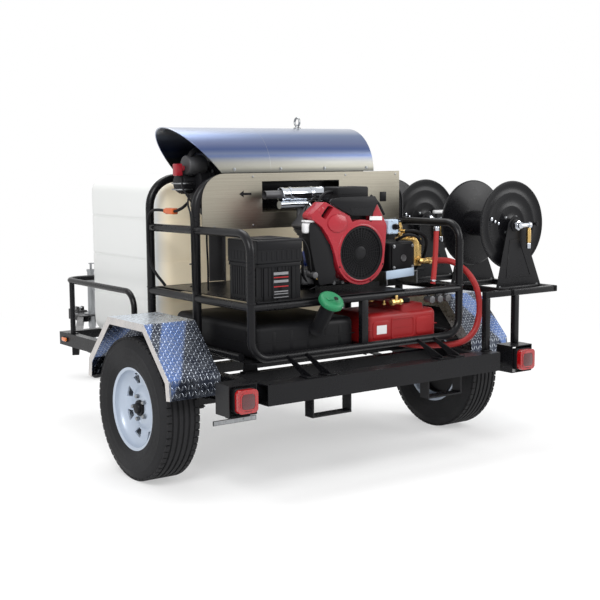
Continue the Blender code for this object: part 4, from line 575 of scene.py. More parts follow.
class Finish:
    """One material under construction: its tree, its shader and its object coordinates."""

    def __init__(self, name, metallic=0.0, coat=0.0, specular=0.5):
        self.material = bpy.data.materials.new(name)
        self.material.use_nodes = True
        self.tree = self.material.node_tree
        self.shader = self.tree.nodes["Principled BSDF"]
        self.shader.inputs["Metallic"].default_value = metallic
        self.shader.inputs["Coat Weight"].default_value = coat
        self.shader.inputs["Coat Roughness"].default_value = 0.08
        self.shader.inputs["Specular IOR Level"].default_value = specular
        self.place = self.tree.nodes.new("ShaderNodeTexCoord").outputs["Object"]
        FINISHES[name] = self.material

    def add(self, name, **values):
        node = self.tree.nodes.new("ShaderNodeGroup")
        node.node_tree = bpy.data.node_groups[name]
        self.tree.links.new(self.place, node.inputs["Vector"])
        for label, value in values.items():
            socket = node.inputs[label]
            if isinstance(value, bpy.types.NodeSocket):
                self.tree.links.new(value, socket)
            else:
                socket.default_value = value
        return node.outputs

    def feed(self, label, value):
        self.tree.links.new(value, self.shader.inputs[label])

    def bump(self, height, strength, distance):
        node = self.tree.nodes.new("ShaderNodeBump")
        node.inputs["Strength"].default_value = strength
        node.inputs["Distance"].default_value = distance
        self.tree.links.new(height, node.inputs["Height"])
        self.feed("Normal", node.outputs["Normal"])


def shaded(tint, factor):
    return (*[max(0.0, min(1.0, part * factor)) for part in tint], 1.0)


def plain_finish(name, tint, smooth, rough, scale, bump, dust, shade, **shader):
    """Paint, plastic, rubber or casting: uneven colour, grain and a little dust."""
    made = Finish(name, **shader)
    grain = made.add("washer_grain", Scale=scale, Smooth=smooth, Rough=rough)
    made.feed("Roughness", grain["Roughness"])
    made.feed("Base Color", made.add("washer_tint", Color=(*tint, 1.0), Shade=shaded(tint, shade),
                                     Dust=dust)["Color"])
    made.bump(grain["Height"], bump, 0.0006)
    return made


def metal_finish(name, tint, smooth, rough, stretch, bump, shade):
    """Sheet metal with drawn-out brushing."""
    made = Finish(name, metallic=1.0)
    marks = made.add("washer_brushing", Stretch=stretch, Smooth=smooth, Rough=rough)
    made.feed("Roughness", marks["Roughness"])
    made.feed("Base Color", blended(made.tree, marks["Mask"], (*tint, 1.0), shaded(tint, shade)))
    made.bump(marks["Height"], bump, 0.0004)
    return made


BLACK_PLASTIC = (0.006, 0.006, 0.007)
# name, colour or the setting that holds it, roughness from and to, grain's scale, bump, dust, shade, levels
PLAIN_FINISHES = (("black_paint", "frame_black", 0.22, 0.38, 90.0, 0.08, 0.02, 1.3, {"specular": 0.2}),
                  ("black_polyethylene", BLACK_PLASTIC, 0.36, 0.55, 240.0, 0.2, 0.02, 1.4,
                   {"specular": 0.16}), ("black_casting", BLACK_PLASTIC, 0.32, 0.55, 160.0, 0.3, 0.02, 1.4,
                                         {"specular": 0.16}),
                  ("cable_black", BLACK_PLASTIC, 0.45, 0.65, 160.0, 0.2, 0.02, 1.4, {"specular": 0.16}),
                  ("belt_rubber", (0.007, 0.007, 0.007), 0.6, 0.85, 120.0, 0.2, 0.03, 1.4,
                   {"specular": 0.16}), ("tyre_rubber", (0.012, 0.012, 0.013), 0.62, 0.88, 140.0, 0.25, 0.1,
                                         1.7, {"specular": 0.2}),
                  ("red_engine_cover", "engine_red", 0.22, 0.34, 40.0, 0.03, 0.02, 0.8,
                   {"coat": 0.15, "specular": 0.3}), ("red_polyethylene", "can_red", 0.3, 0.48, 200.0, 0.12,
                                                      0.03, 0.75, {"specular": 0.3}),
                  ("red_hose", "hose_red", 0.36, 0.55, 180.0, 0.12, 0.04, 0.8, {"specular": 0.3}),
                  ("green_cap", "cap_green", 0.35, 0.55, 150.0, 0.1, 0.02, 0.75, {"specular": 0.3}),
                  ("white_paint", "rim_white", 0.3, 0.42, 50.0, 0.02, 0.0, 0.95,
                   {"coat": 0.1, "metallic": 0.15}), ("grey_casting", (0.11, 0.11, 0.115), 0.38, 0.62, 130.0,
                                                      0.45, 0.03, 0.7, {"metallic": 0.7}),
                  ("pale_plate", (0.42, 0.53, 0.66), 0.28, 0.42, 60.0, 0.04, 0.04, 0.9, {}),
                  ("blue_paint", (0.012, 0.035, 0.2), 0.2, 0.35, 60.0, 0.05, 0.04, 0.75, {}),
                  ("connector_orange", (0.62, 0.13, 0.03), 0.32, 0.48, 100.0, 0.05, 0.04, 0.8, {}),
                  ("label_white", (0.72, 0.72, 0.73), 0.36, 0.5, 70.0, 0.02, 0.02, 0.93, {}),
                  ("label_grey", (0.2, 0.2, 0.21), 0.36, 0.5, 70.0, 0.02, 0.02, 0.93, {}),)
# name, colour or its setting, roughness from and to, how the brushing is drawn out, bump and shade
METAL_FINISHES = (("zinc_plate", (0.32, 0.33, 0.34), 0.28, 0.46, (30.0, 30.0, 6.0), 0.05, 0.8),
                  ("chrome", (0.6, 0.63, 0.68), 0.07, 0.16, (3.0, 12.0, 12.0), 0.02, 0.85),
                  ("brass", (0.66, 0.45, 0.17), 0.22, 0.38, (20.0, 20.0, 20.0), 0.06, 0.8),
                  ("brushed_stainless", "panel_metal", 0.26, 0.4, (0.5, 200.0, 260.0), 0.02, 0.86),)
LENSES = {"red_lens": (0.34, 0.004, 0.006), "smoked_lens": (0.075, 0.004, 0.006),
          "amber_lens": (0.85, 0.17, 0.01)}


def tint_of(source):
    """A colour as it is, or the setting of that name."""
    return tuple(getattr(bpy.context.scene.washer_colours, source)) if isinstance(source, str) else source


def make_finishes():
    """Every finish on the trailer, one for each of the record's slots and a few more for small pieces."""
    for name, source, *levels, shader in PLAIN_FINISHES:
        plain_finish(name, tint_of(source), *levels, **shader)
    for name, source, *levels in METAL_FINISHES:
        metal_finish(name, tint_of(source), *levels)
    for name, tint in LENSES.items():
        lens_finish(name, tint)
    tank_finish(tint_of("tank_white"))
    hood_finish(tint_of("hood_metal"))
    tread_plate_finish(tint_of("plate_metal"))
    for node, slot in SLOTS.items():
        materials = NODES[node].data.materials
        materials.clear()
        materials.append(FINISHES[slot])


# painted reflections: what the mirror-like sheets would show of their surroundings, as (position, colour)
# stops
HOOD_PAINTED_REFLECTIONS = ((0.0, (0.12, 0.12, 0.11)), (0.1, (0.22, 0.215, 0.185)), (0.22, (0.19, 0.19, 0.18)),
              (0.3, (0.16, 0.175, 0.21)), (0.36, (0.115, 0.15, 0.27)), (0.42, (0.16, 0.195, 0.3)),
              (0.51, (0.085, 0.12, 0.26)), (0.63, (0.16, 0.19, 0.32)), (0.82, (0.18, 0.23, 0.36)),
              (0.95, (0.42, 0.45, 0.52)),)
# painted reflections of ground and sky on the tread plate
PAINTED_GROUND_REFLECTION, PAINTED_SKY_REFLECTION = (0.045, 0.052, 0.075), (0.13, 0.21, 0.46)
PLATE_PAINTED_REFLECTIONS = ((0.0, PAINTED_GROUND_REFLECTION), (0.19, PAINTED_GROUND_REFLECTION), (0.25, PAINTED_SKY_REFLECTION), (0.59, PAINTED_SKY_REFLECTION), (0.63, PAINTED_GROUND_REFLECTION), (0.75, PAINTED_GROUND_REFLECTION),
               (0.79, PAINTED_SKY_REFLECTION), (1.0, PAINTED_SKY_REFLECTION))
PLATE_EDGE = (0.62, 0.59, 0.57, 1.0)
# painted light on the water tank's face towards the machine: a cream colour and a faint glow
TANK_PAINTED_LIGHT, TANK_PAINTED_GLOW = (0.84, 0.74, 0.56, 1.0), (0.15, 0.13, 0.092, 1.0)
NO_LIGHT = (0.0, 0.0, 0.0, 1.0)


def tank_finish(tint):
    """Natural polyethylene: white outside, with painted light on the face that looks at the machine, a cream
    colour and a faint glow for light that comes through the plastic.
    """
    made = Finish("white_polyethylene", specular=0.3)
    tree = made.tree
    grain = made.add("washer_grain", Scale=120.0, Smooth=0.34, Rough=0.5)
    made.feed("Roughness", grain["Roughness"])
    split = separate(tree, made.place)
    # painted light: the face towards the machine turns cream and glows a little, for light through the
    # plastic
    painted_light_mask = spread(tree, split["Y"], 0.6 + SHIFT.y, 0.556 + SHIFT.y)
    painted_light_colour = blended(tree, painted_light_mask, (*tint, 1.0), TANK_PAINTED_LIGHT)
    made.feed("Base Color", made.add("washer_tint", Color=painted_light_colour, Shade=painted_light_colour, Dust=0.02)["Color"])
    made.feed("Emission Color", blended(tree, painted_light_mask, NO_LIGHT, TANK_PAINTED_GLOW))
    made.shader.inputs["Emission Strength"].default_value = 1.0
    made.bump(grain["Height"], 0.06, 0.0006)


def hood_finish(tint):
    """Mirror steel with painted reflections: soft long bands of colour that follow the height."""
    made = Finish("polished_stainless", metallic=1.0)
    tree = made.tree
    marks = made.add("washer_brushing", Stretch=(0.5, 40.0, 40.0), Smooth=0.3, Rough=0.38)
    made.feed("Roughness", marks["Roughness"])
    split = separate(tree, made.place)
    wave = noise(tree, made.place, 0.9, 1.0)
    height = plus(tree, split["Z"], times(tree, minus(tree, wave, 0.5), 0.02))
    # painted reflection: the colour runs through the listed bands by height
    stops = [(spot, [part * level for part, level in zip(tint, hue)]) for spot, hue in HOOD_PAINTED_REFLECTIONS]
    level = spread(tree, height, HOOD_BASE, HOOD_BASE + HOOD_RADIUS)
    made.feed("Base Color", ramped(tree, level, stops))
    made.bump(marks["Height"], 0.02, 0.0003)


def tread_plate_finish(tint):
    """Bright tread plate; its lozenges follow the bent sheet over each wheel, and painted reflections of
    ground and sky lie on its sloped faces.
    """
    made = Finish("tread_plate", metallic=1.0)
    tree = made.tree
    centred = tree.nodes.new("ShaderNodeMapping")
    centred.inputs["Location"].default_value = (0.0, -SHIFT.y, 0.0)
    tree.links.new(made.place, centred.inputs["Vector"])
    lozenge = made.add("washer_tread_plate", Pitch=0.017)
    tree.links.new(centred.outputs[0], lozenge["Height"].node.inputs["Vector"])
    way = tree.nodes.new("ShaderNodeNewGeometry")
    split = separate(tree, way.outputs["Normal"])
    facing = maths(tree, "LESS_THAN", maths(tree, "ABSOLUTE", split["X"]), 0.5)
    raised = times(tree, lozenge["Height"], facing)
    marks = made.add("washer_brushing", Stretch=(8.0, 8.0, 8.0), Smooth=0.22, Rough=0.4)
    made.feed("Roughness", spread(tree, raised, 0.0, 1.0, marks["Roughness"], 0.16))
    # painted reflection: sloped faces get bands of ground and sky across the plate, faces that look up a
    # plain lighter colour, side faces keep a flat grey
    seen = separate(tree, made.place)
    across = plus(tree, maths(tree, "ABSOLUTE", minus(tree, seen["X"], SHIFT.x)),
                  times(tree, seen["Z"], 0.69))
    bands = ramped(tree, spread(tree, across, 1.3, 1.62), PLATE_PAINTED_REFLECTIONS)
    upward = spread(tree, split["Z"], 0.8, 0.95)
    mirror = blended(tree, upward, bands, shaded(tint, 1.1))
    mirror = blended(tree, facing, PLATE_EDGE, mirror)
    base = blended(tree, times(tree, marks["Mask"], 0.25), mirror, shaded(tint, 0.5))
    made.feed("Base Color", blended(tree, times(tree, raised, 0.7), base, shaded(tint, 1.1)))
    made.bump(raised, 0.6, 0.0008)


def lens_finish(name, tint):
    """A moulded lens: clear colour over the fine prisms of a reflector."""
    made = Finish(name, coat=0.8)
    prisms = made.tree.nodes.new("ShaderNodeTexVoronoi")
    prisms.inputs["Scale"].default_value = 220.0
    made.tree.links.new(made.place, prisms.inputs["Vector"])
    cell = prisms.outputs["Distance"]
    made.feed("Roughness", spread(made.tree, cell, 0.0, 0.8, 0.08, 0.24))
    made.feed("Base Color", blended(made.tree, cell, shaded(tint, 1.35), shaded(tint, 0.45)))
    made.bump(cell, 0.35, 0.0008)


# ------------------------------------------------------------------ stage
EYE = Vector((-3.6832, -5.9809, 1.5274))
YAW, PITCH, ROLL = 0.625271, 0.12122, -0.007102
FOCAL_LENGTH, SENSOR = 70.643, 36.0     # millimetres
AMBIENT = 0.62                          # the white world's strength where it lights a surface
LAMPS = {                               # place, target, width and watts
    "key": ((-4.6, -5.4, 5.2), (0.0, -0.5, 0.8), 3.6, 330.0),
    "fill": ((4.8, -5.0, 3.4), (0.2, -0.8, 0.8), 3.6, 170.0),
    "top": ((0.2, 1.0, 6.5), (0.0, 0.0, 0.6), 4.5, 260.0),
}


def look(centre, yaw, pitch, roll):
    """A camera's matrix: yaw east of +Y, pitch down and roll, all in radians."""
    ahead = Vector((math.sin(yaw) * math.cos(pitch), math.cos(yaw) * math.cos(pitch), -math.sin(pitch)))
    level = Vector((math.cos(yaw), -math.sin(yaw), 0.0))
    above = level.cross(ahead)
    right = level * math.cos(roll) + above * math.sin(roll)
    up = above * math.cos(roll) - level * math.sin(roll)
    matrix = Matrix((right, up, -ahead)).transposed().to_4x4()
    matrix.translation = centre
    return matrix


def add_camera():
    data = bpy.data.cameras.new("photo_view")
    data.sensor_width = SENSOR
    data.lens = FOCAL_LENGTH
    data.clip_end = 60.0
    camera = bpy.data.objects.new("photo_view", data)
    bpy.context.scene.collection.objects.link(camera)
    camera.matrix_world = look(EYE, YAW, PITCH, ROLL)
    bpy.context.scene.camera = camera
    bpy.context.scene.view_settings.view_transform = "Standard"


def add_lamps():
    """Round soft lamps, each aimed at a point on the trailer."""
    for name, (place, target, size, watts) in LAMPS.items():
        data = bpy.data.lights.new(name, "AREA")
        data.shape = "DISK"
        data.size = size
        data.energy = watts
        lamp = bpy.data.objects.new(name, data)
        bpy.context.scene.collection.objects.link(lamp)
        lamp.location = place
        lamp.rotation_euler = (Vector(target) - Vector(place)).to_track_quat("-Z", "Y").to_euler()


def add_world():
    """Plain white for the camera and for reflections, soft grey light for everything else."""
    world = bpy.data.worlds.new("studio")
    bpy.context.scene.world = world
    world.use_nodes = True
    tree = world.node_tree
    shade = tree.nodes["Background"]
    shade.inputs["Color"].default_value = (1.0, 1.0, 1.0, 1.0)
    path = tree.nodes.new("ShaderNodeLightPath")
    seen = maths(tree, "MAXIMUM", path.outputs["Is Camera Ray"], path.outputs["Is Transmission Ray"])
    seen = maths(tree, "MAXIMUM", seen, path.outputs["Is Glossy Ray"])
    tree.links.new(spread(tree, seen, 0.0, 1.0, AMBIENT, 1.0), shade.inputs["Strength"])


def add_floor():
    """A pale floor that keeps the shadow near the object and runs out into the white backdrop."""
    fresh()
    bpy.ops.mesh.primitive_circle_add(vertices=96, radius=24.0, fill_type="NGON")
    floor = bpy.context.object
    floor.name = "floor"
    made = bpy.data.materials.new("floor")
    made.use_nodes = True
    tree = made.node_tree
    shader = tree.nodes["Principled BSDF"]
    shader.inputs["Base Color"].default_value = (0.93, 0.93, 0.93, 1.0)
    shader.inputs["Roughness"].default_value = 0.9
    shader.inputs["Specular IOR Level"].default_value = 0.1
    glow = tree.nodes.new("ShaderNodeEmission")
    mix = tree.nodes.new("ShaderNodeMixShader")
    place = tree.nodes.new("ShaderNodeTexCoord")
    far = tree.nodes.new("ShaderNodeVectorMath")
    far.operation = "LENGTH"
    tree.links.new(place.outputs["Object"], far.inputs[0])
    path = tree.nodes.new("ShaderNodeLightPath")
    seen = maths(tree, "MAXIMUM", path.outputs["Is Camera Ray"], path.outputs["Is Glossy Ray"])
    edge = spread(tree, far.outputs["Value"], 2.4, 5.0)
    tree.links.new(times(tree, seen, spread(tree, edge, 0.0, 1.0, 0.45, 1.0)), mix.inputs[0])
    tree.links.new(shader.outputs[0], mix.inputs[1])
    tree.links.new(glow.outputs[0], mix.inputs[2])
    tree.links.new(mix.outputs[0], tree.nodes["Material Output"].inputs["Surface"])
    floor.data.materials.append(made)


# ------------------------------------------------------------------ wheels
WHEEL_X, WHEEL_Z = 0.952, 0.344
OUTWARD = {"left": (0.0, -math.pi / 2, 0.0), "right": (0.0, math.pi / 2, 0.0)}
SIDES = {"left": -1.0, "right": 1.0}


def tyre_pieces(depth, blocks):
    """A tyre about Z: carcass with sidewall rings, grooved crown and shoulder blocks on each side."""
    base = TYRE_RADIUS - depth
    half = [(BEAD_RADIUS, -0.0745), (0.198, -0.083), (0.214, -0.0905), (0.232, -0.0965), (0.236, -0.0975),
            (0.24, -0.0972), (0.256, -0.1005), (0.276, -0.1015), (0.294, -0.1005), (0.298, -0.1012),
            (0.302, -0.0995), (0.316, -0.095), (0.328, -0.0885), (base, -0.08)]
    ribs = []
    for low, high in ((-0.054, -0.033), (-0.024, -0.004)):
        ribs += [(base, low), (TYRE_RADIUS, low + 0.0015), (TYRE_RADIUS, high - 0.0015), (base, high)]
    mirrored = [(radius, -height) for radius, height in reversed(half + ribs)]
    liner = [(BEAD_RADIUS, 0.0745), (0.206, 0.07), (0.225, 0.05), (0.23, 0.0), (0.225, -0.05), (0.206, -0.07),
             (BEAD_RADIUS, -0.0745)]
    carcass = lathe(half + ribs + mirrored + liner[1:], sides=96)
    lugs = []
    for side in (-1.0, 1.0):
        pitch = 2 * math.pi * base / blocks
        lug = cube((base - 0.003, -pitch * 0.43, 0.062), (0.3436, pitch * 0.43, 0.085), 0.0012, 1)
        lug.data.transform(Matrix.Scale(side, 4, (0.0, 0.0, 1.0)))
        lug.data.transform(Matrix.Rotation(side * 0.02, 4, "Z"))
        lugs.append(rounds(tidy(lug), blocks))
    return joined(carcass, *lugs)


def rim_piece():
    """A white spoke rim about Z with pressed spokes, windows, flanges and hub."""
    front = [(0.0385, 0.039), (0.074, 0.0365), (0.08, 0.034), (0.104, 0.018), (0.112, 0.017), (0.15, 0.024),
             (0.168, 0.033), (0.18, 0.05), (0.185, 0.06), (0.1855, 0.079), (BEAD_RADIUS, 0.0835),
             (0.206, 0.0838), (0.2098, 0.081), (0.206, 0.08), (BEAD_RADIUS, 0.0765), (0.1905, 0.074)]
    back = [(0.1905, -0.074), (BEAD_RADIUS, -0.0765), (0.206, -0.08), (0.2098, -0.081), (0.206, -0.0838),
            (BEAD_RADIUS, -0.0835), (0.1855, -0.079), (0.185, 0.038), (0.17, 0.024), (0.15, 0.015),
            (0.112, 0.008), (0.104, 0.009), (0.08, 0.025), (0.074, 0.0275), (0.0385, 0.03)]
    rim = lathe(front + back + front[:1], sides=96)
    cutters = []
    for index in range(8):
        angle = math.pi / 4 * (index + 0.5)
        window = flat_curve([arc((0.0, 0.0), 0.158, -10.5, 10.5, 8) + arc((0.0, 0.0), 0.12, 6.0, -6.0, 4)],
                            0.2)
        only(window)
        bpy.ops.object.convert(target="MESH")
        window = soften(tidy(bpy.context.object), 0.006, 3, 50.0)
        window.data.transform(Matrix.Rotation(angle, 4, "Z"))
        cutters.append(window)
    return tidy(carved(rim, joined(*cutters)))


def nut_pieces():
    """Five wheel nuts with their domed ends, about Z."""
    nut = joined(drum(0.0105, 0.016, (0.0572, 0.0, 0.046), "Z", 6, 0.001),
                 lathe([(0.0, 0.058), (0.005, 0.0575), (0.008, 0.0545), (0.008, 0.052), (0.0, 0.052)],
                       (0.0572, 0.0, 0.0), sides=16))
    nut.data.transform(Matrix.Rotation(math.pi / 10, 4, "Z"))
    return rounds(nut, 5)


def hub_pieces():
    """The greased hub with its dust cap, and the brake drum that darkens the rim's windows."""
    hub = lathe([(0.0, 0.0665), (0.016, 0.0665), (0.024, 0.064), (0.027, 0.059), (0.028, 0.052),
                 (0.037, 0.05), (0.038, 0.048), (0.038, -0.047), (0.017, -0.047), (0.017, 0.03), (0.0, 0.03)],
                sides=40)
    drum_part = lathe([(0.0382, -0.01), (0.15, -0.01), (0.16, -0.016), (0.16, -0.047), (0.156, -0.047),
                       (0.156, -0.018), (0.0382, -0.014), (0.0382, -0.01)], sides=64)
    return joined(hub, drum_part)


def fit_wheels():
    """Model one wheel about Z and set a copy of each piece on either end of the axle."""
    valve = tube([(0.171, 0.0, 0.036), (0.167, 0.0, 0.06)], 0.0045, sides=12)
    parts = [("tyre", tyre_pieces(sizes().tread_depth, sizes().tread_blocks), "tyre_rubber", 30.0, ("tyre",)),
             ("rim", rim_piece(), "white_paint", 35.0, ("rim",)),
             ("wheel_nuts", nut_pieces(), "zinc_plate", 30.0, ()),
             ("hub", hub_pieces(), "black_casting", 35.0, ()), ("tyre_valve", valve, "belt_rubber", 40.0, ())]
    for side, sign in SIDES.items():
        for name, pattern, surface, angle, stands_for in parts:
            made = copied(pattern)
            made.rotation_euler = OUTWARD[side]
            made.location = (sign * WHEEL_X, 0.0, WHEEL_Z)
            finish(made, side + "_" + name + "_looks", surface, *[side + "_" + word for word in stands_for],
                   body=side + "_wheel", angle=angle)
    for part in parts:
        bpy.data.objects.remove(part[1], do_unlink=True)


# ------------------------------------------------------------------ fenders and running gear
def fit_fenders():
    """Bolts and a rolled lip for the tread plate over each wheel."""
    for side, sign in SIDES.items():
        heads = bolts([(sign * 0.815, y, 0.7702) for y in (-0.15, 0.0, 0.15)], "Z", 0.012, 0.004)
        finish(heads, side + "_fender_bolts", "zinc_plate")
        edge = ((-0.409, 0.456), (-0.4, 0.539), (-0.18, 0.769), (0.18, 0.769), (0.4, 0.539), (0.409, 0.456))
        route = bent([(sign * 1.0545, y, z) for y, z in edge], 0.012, 3)
        lip = tube([(x, y, z - 0.0042) for x, y, z in route], 0.0032, sides=10)
        finish(lip, side + "_fender_lip", "zinc_plate")


SKID_X, SKID_REAR, SKID_FRONT = 0.65, -0.45, 0.49
SKID_BASE, SKID_SHELF, SKID_RAIL = 0.597, 0.84, 1.18
ARCH_TOP, ARCH_REAR_Y = 1.42, 0.03


def fit_skid():
    """The black tube cage round the machine, its floor pan, feet and gussets."""
    x, rear, front = SKID_X, SKID_REAR, SKID_FRONT
    loop = [(-x, front, SKID_RAIL - 0.01), (-x, rear, SKID_RAIL), (-x, rear, SKID_BASE),
            (x, rear, SKID_BASE), (x, rear, SKID_RAIL), (x, front, SKID_RAIL - 0.01)]
    parts = [tube(bent(loop, 0.09, 10), 0.02)]
    for y in (ARCH_REAR_Y, front):
        parts.append(tube(bent([(-x, y, SKID_BASE), (-x, y, ARCH_TOP), (x, y, ARCH_TOP), (x, y, SKID_BASE)],
                               0.15, 12), 0.0218))
    for side in (-x, x):
        parts.append(tube([(side, rear + 0.09, SKID_BASE), (side, front, SKID_BASE)], 0.0196))
        parts.append(tube([(side, rear, SKID_SHELF), (side, front, SKID_SHELF)], 0.0194))
    for y, z in ((rear, SKID_SHELF), (front, SKID_SHELF), (front, SKID_BASE)):
        parts.append(tube([(-x, y, z), (x, y, z)], 0.0196))
    for y in (rear, front):
        parts.append(cube((-0.01, y - 0.015, SKID_BASE), (0.03, y + 0.015, SKID_SHELF), 0.003, 2))
    parts.append(cube((-x, rear, 0.5773), (x, front, 0.5813)))
    for foot in (-0.56, 0.56):
        for y in (-0.3, 0.36):
            web = [(foot - 0.03, 0.5793), (foot - 0.042, FRAME_TOP), (foot + 0.042, FRAME_TOP),
                   (foot + 0.03, 0.5793)]
            parts.append(upright([web], 0.008, y))
            parts.append(cube((foot - 0.045, y - 0.022, FRAME_TOP), (foot + 0.045, y + 0.022, 0.5163), 0.001,
                              1))
    for gusset in (-0.46, -0.35, 0.35, 0.46):
        web = [(rear, SKID_BASE), (-0.585, 0.5263), (-0.655, 0.5263), (-0.655, 0.5373),
               (rear - 0.02, SKID_BASE + 0.008)]
        parts.append(slab([web], 0.008, (gusset, 0.0, 0.0), "YZ"))
        parts.append(cube((gusset - 0.03, -0.665, 0.5253), (gusset + 0.03, -0.599, 0.5313), 0.001, 1))
    for side in (-x, x):
        for y in (rear, ARCH_REAR_Y, front):
            top = SKID_SHELF + 0.0205
            parts.append(lathe([(0.0225, top - 0.004), (0.025, top - 0.001), (0.0225, top + 0.003),
                                (0.019, top + 0.003), (0.019, top - 0.004), (0.0225, top - 0.004)],
                               (side, y, 0.0), sides=20))
    finish(parts, "skid_tubes", "black_paint", "skid_frame")


def fit_guard_rail():
    """The low tube rail round the water tank, with its feet."""
    x, rear, front, top, foot = 0.685, 0.62, 1.475, 0.82, FRAME_TOP
    loop = [(-x, rear, foot), (-x, rear, top), (-x, front, top), (x, front, top), (x, rear, top),
            (x, rear, foot)]
    parts = [tube(bent(loop, 0.09, 10), 0.016)]
    for side in (-x, x):
        parts.append(tube([(side, front - 0.09, foot), (side, front - 0.09, top)], 0.0152))
        for y in (rear, front - 0.09):
            parts.append(cube((side - 0.024, y - 0.024, foot), (side + 0.024, y + 0.024, foot + 0.004), 0.001,
                              1))
    finish(parts, "guard_rail_tubes", "black_paint", "guard_rail")


# ------------------------------------------------------------------ engine
CRANK = Vector((0.058, 0.0, 1.052))
SHROUD_REAR, ENGINE_REAR, CYLINDER_Y = -0.375, -0.3, -0.18


def shroud_outline():
    """The blower cover's edge: a round scroll below and one tall horn on either side above."""
    x, z = CRANK.x, CRANK.z
    return (arc((x, z), 0.158, 205.0, 335.0, 24) + arc((x + 0.138, z + 0.125), 0.025, 0.0, 35.0, 5)
            + arc((x + 0.094, z + 0.23), 0.01, 35.0, 150.0, 5) + arc((x, z), 0.164, 66.0, 110.0, 6)
            + [(x - 0.074, z + 0.186), (x - 0.118, z + 0.206)]
            + arc((x - 0.224, z + 0.234), 0.022, 62.0, 125.0, 5)
            + arc((x - 0.286, z + 0.19), 0.02, 130.0, 250.0, 6)
            + [(x - 0.243, z + 0.138), (x - 0.207, z + 0.092), (x - 0.18, z + 0.042), (x - 0.164, z - 0.002)])


def fit_engine_cover():
    """The red blower housing: scroll, two horns with an intake slot darkened by painted shade, mouth liner,
    ribs and screws.
    """
    x, z, rear = CRANK.x, CRANK.z, SHROUD_REAR
    body = upright([shroud_outline(), circle((x, z), 0.1345, 72)[::-1]], 0.074, (rear + ENGINE_REAR) / 2,
                   0.012, 4)
    slot = upright([[(x - 0.205, z + 0.24), (x - 0.172, z + 0.23), (x - 0.222, z + 0.172),
                     (x - 0.25, z + 0.19)]], 0.06, rear + 0.01, 0.006, 3)
    body = carved(body, slot)
    hump = drum(0.05, 0.03, (x - 0.15, rear + 0.006, z + 0.152), "Y", 48, 0.012)
    about = Matrix.Translation((x - 0.15, 0.0, z + 0.152))
    hump.data.transform(about @ Matrix.Diagonal((1.25, 1.0, 0.92, 1.0)) @ about.inverted())
    ring = lathe([(0.1345, 0.01), (0.1345, -0.0035), (0.138, -0.0055), (0.143, -0.0045), (0.15, 0.003),
                  (0.1345, 0.01)], (x, rear, z), "Y", 80)
    brow = cube((x - 0.262, rear - 0.003, z + 0.196), (x - 0.226, rear + 0.05, z + 0.24), 0.012, 4,
                (0.0, math.radians(38.0), 0.0))
    finish([body, hump, ring, brow], "engine_cover_looks", "red_engine_cover", "engine_shroud", angle=40.0)
    # painted shade: a thin black plate at the bottom of the horn's slot stands in for the shade inside it
    back = upright([[(x - 0.2, z + 0.236), (x - 0.176, z + 0.228), (x - 0.222, z + 0.176),
                     (x - 0.246, z + 0.19)]], 0.004, rear + 0.038)
    liner = lathe([(0.1303, 0.06), (0.1303, -0.001), (0.134, -0.002), (0.1344, 0.06), (0.1303, 0.06)],
                  (x, rear, z), "Y", 72)
    intake = upright([arc((x, z), 0.163, 64.0, 116.0, 8) + [(x - 0.06, z + 0.2), (x + 0.06, z + 0.2)]], 0.006,
                     rear + 0.05)
    finish([back, liner, intake], "engine_cover_slots", "black_polyethylene")
    spots = around(x, rear - 0.0005, z, 0.15, [math.radians(d) for d in (205, 292, 335)])
    finish(bolts(spots, "-Y", 0.009, 0.003, False), "engine_cover_screws", "black_casting")
    finish(cube((0.11, rear - 0.0012, z + 0.158), (0.19, rear - 0.0002, z + 0.178), 0.0004, 1,
                (0.0, math.radians(2.0), 0.0)), "engine_cover_label", "label_white")


def fit_fan_screen():
    """The black screen that turns in the cover's mouth: rim, fine rings and ribs over a disc, low hub."""
    x, z, nose = CRANK.x, CRANK.z, SHROUD_REAR - 0.006
    rim = lathe([(0.122, 0.009), (0.1235, 0.0065), (0.1285, 0.007), (0.13, 0.01), (0.13, 0.07), (0.126, 0.07),
                 (0.126, 0.013), (0.122, 0.011), (0.122, 0.009)], (x, nose, z), "Y", 72)
    rings = [band(r - 0.001, r + 0.001, 0.0105, 0.015, (x, nose, z), "Y", 48)
             for r in [0.04 + 0.0118 * step for step in range(7)]]
    hub = lathe([(0.0, 0.008), (0.022, 0.0082), (0.03, 0.0095), (0.034, 0.012), (0.034, 0.02), (0.0, 0.02)],
                (x, nose, z), "Y", 40)
    back = lathe([(0.0, 0.014), (0.1262, 0.015), (0.1262, 0.017), (0.0, 0.016)], (x, nose, z), "Y", 48)
    spoke = cube((x + 0.03, nose + 0.01, z - 0.001), (x + 0.124, nose + 0.015, z + 0.001), 0.0003, 1)
    spokes = rounds(spoke, sizes().screen_slots * 3, "Y", (x, 0.0, z))
    finish([rim, *rings, hub, back, spokes], "fan_screen_looks", "black_polyethylene", "fan_screen",
           body="engine_shaft")
    spots = around(x, nose + 0.0082, z, 0.022, (0.5, 2.6, 4.7))
    finish(bolts(spots, "-Y", 0.007, 0.002, False), "fan_screen_screws", "black_casting", body="engine_shaft")


def bank(side, low, high, wide, deep, round_by):
    """A box that leans out along one cylinder bank, between two distances from the crankshaft."""
    lean = side * math.radians(45.0)
    out = Vector((math.sin(lean), 0.0, math.cos(lean)))
    centre = Vector((CRANK.x, CYLINDER_Y, CRANK.z)) + out * (low + high) / 2
    size = Vector((wide, deep, high - low)) / 2
    return cube(centre - size, centre + size, round_by, 3, (0.0, lean, 0.0))


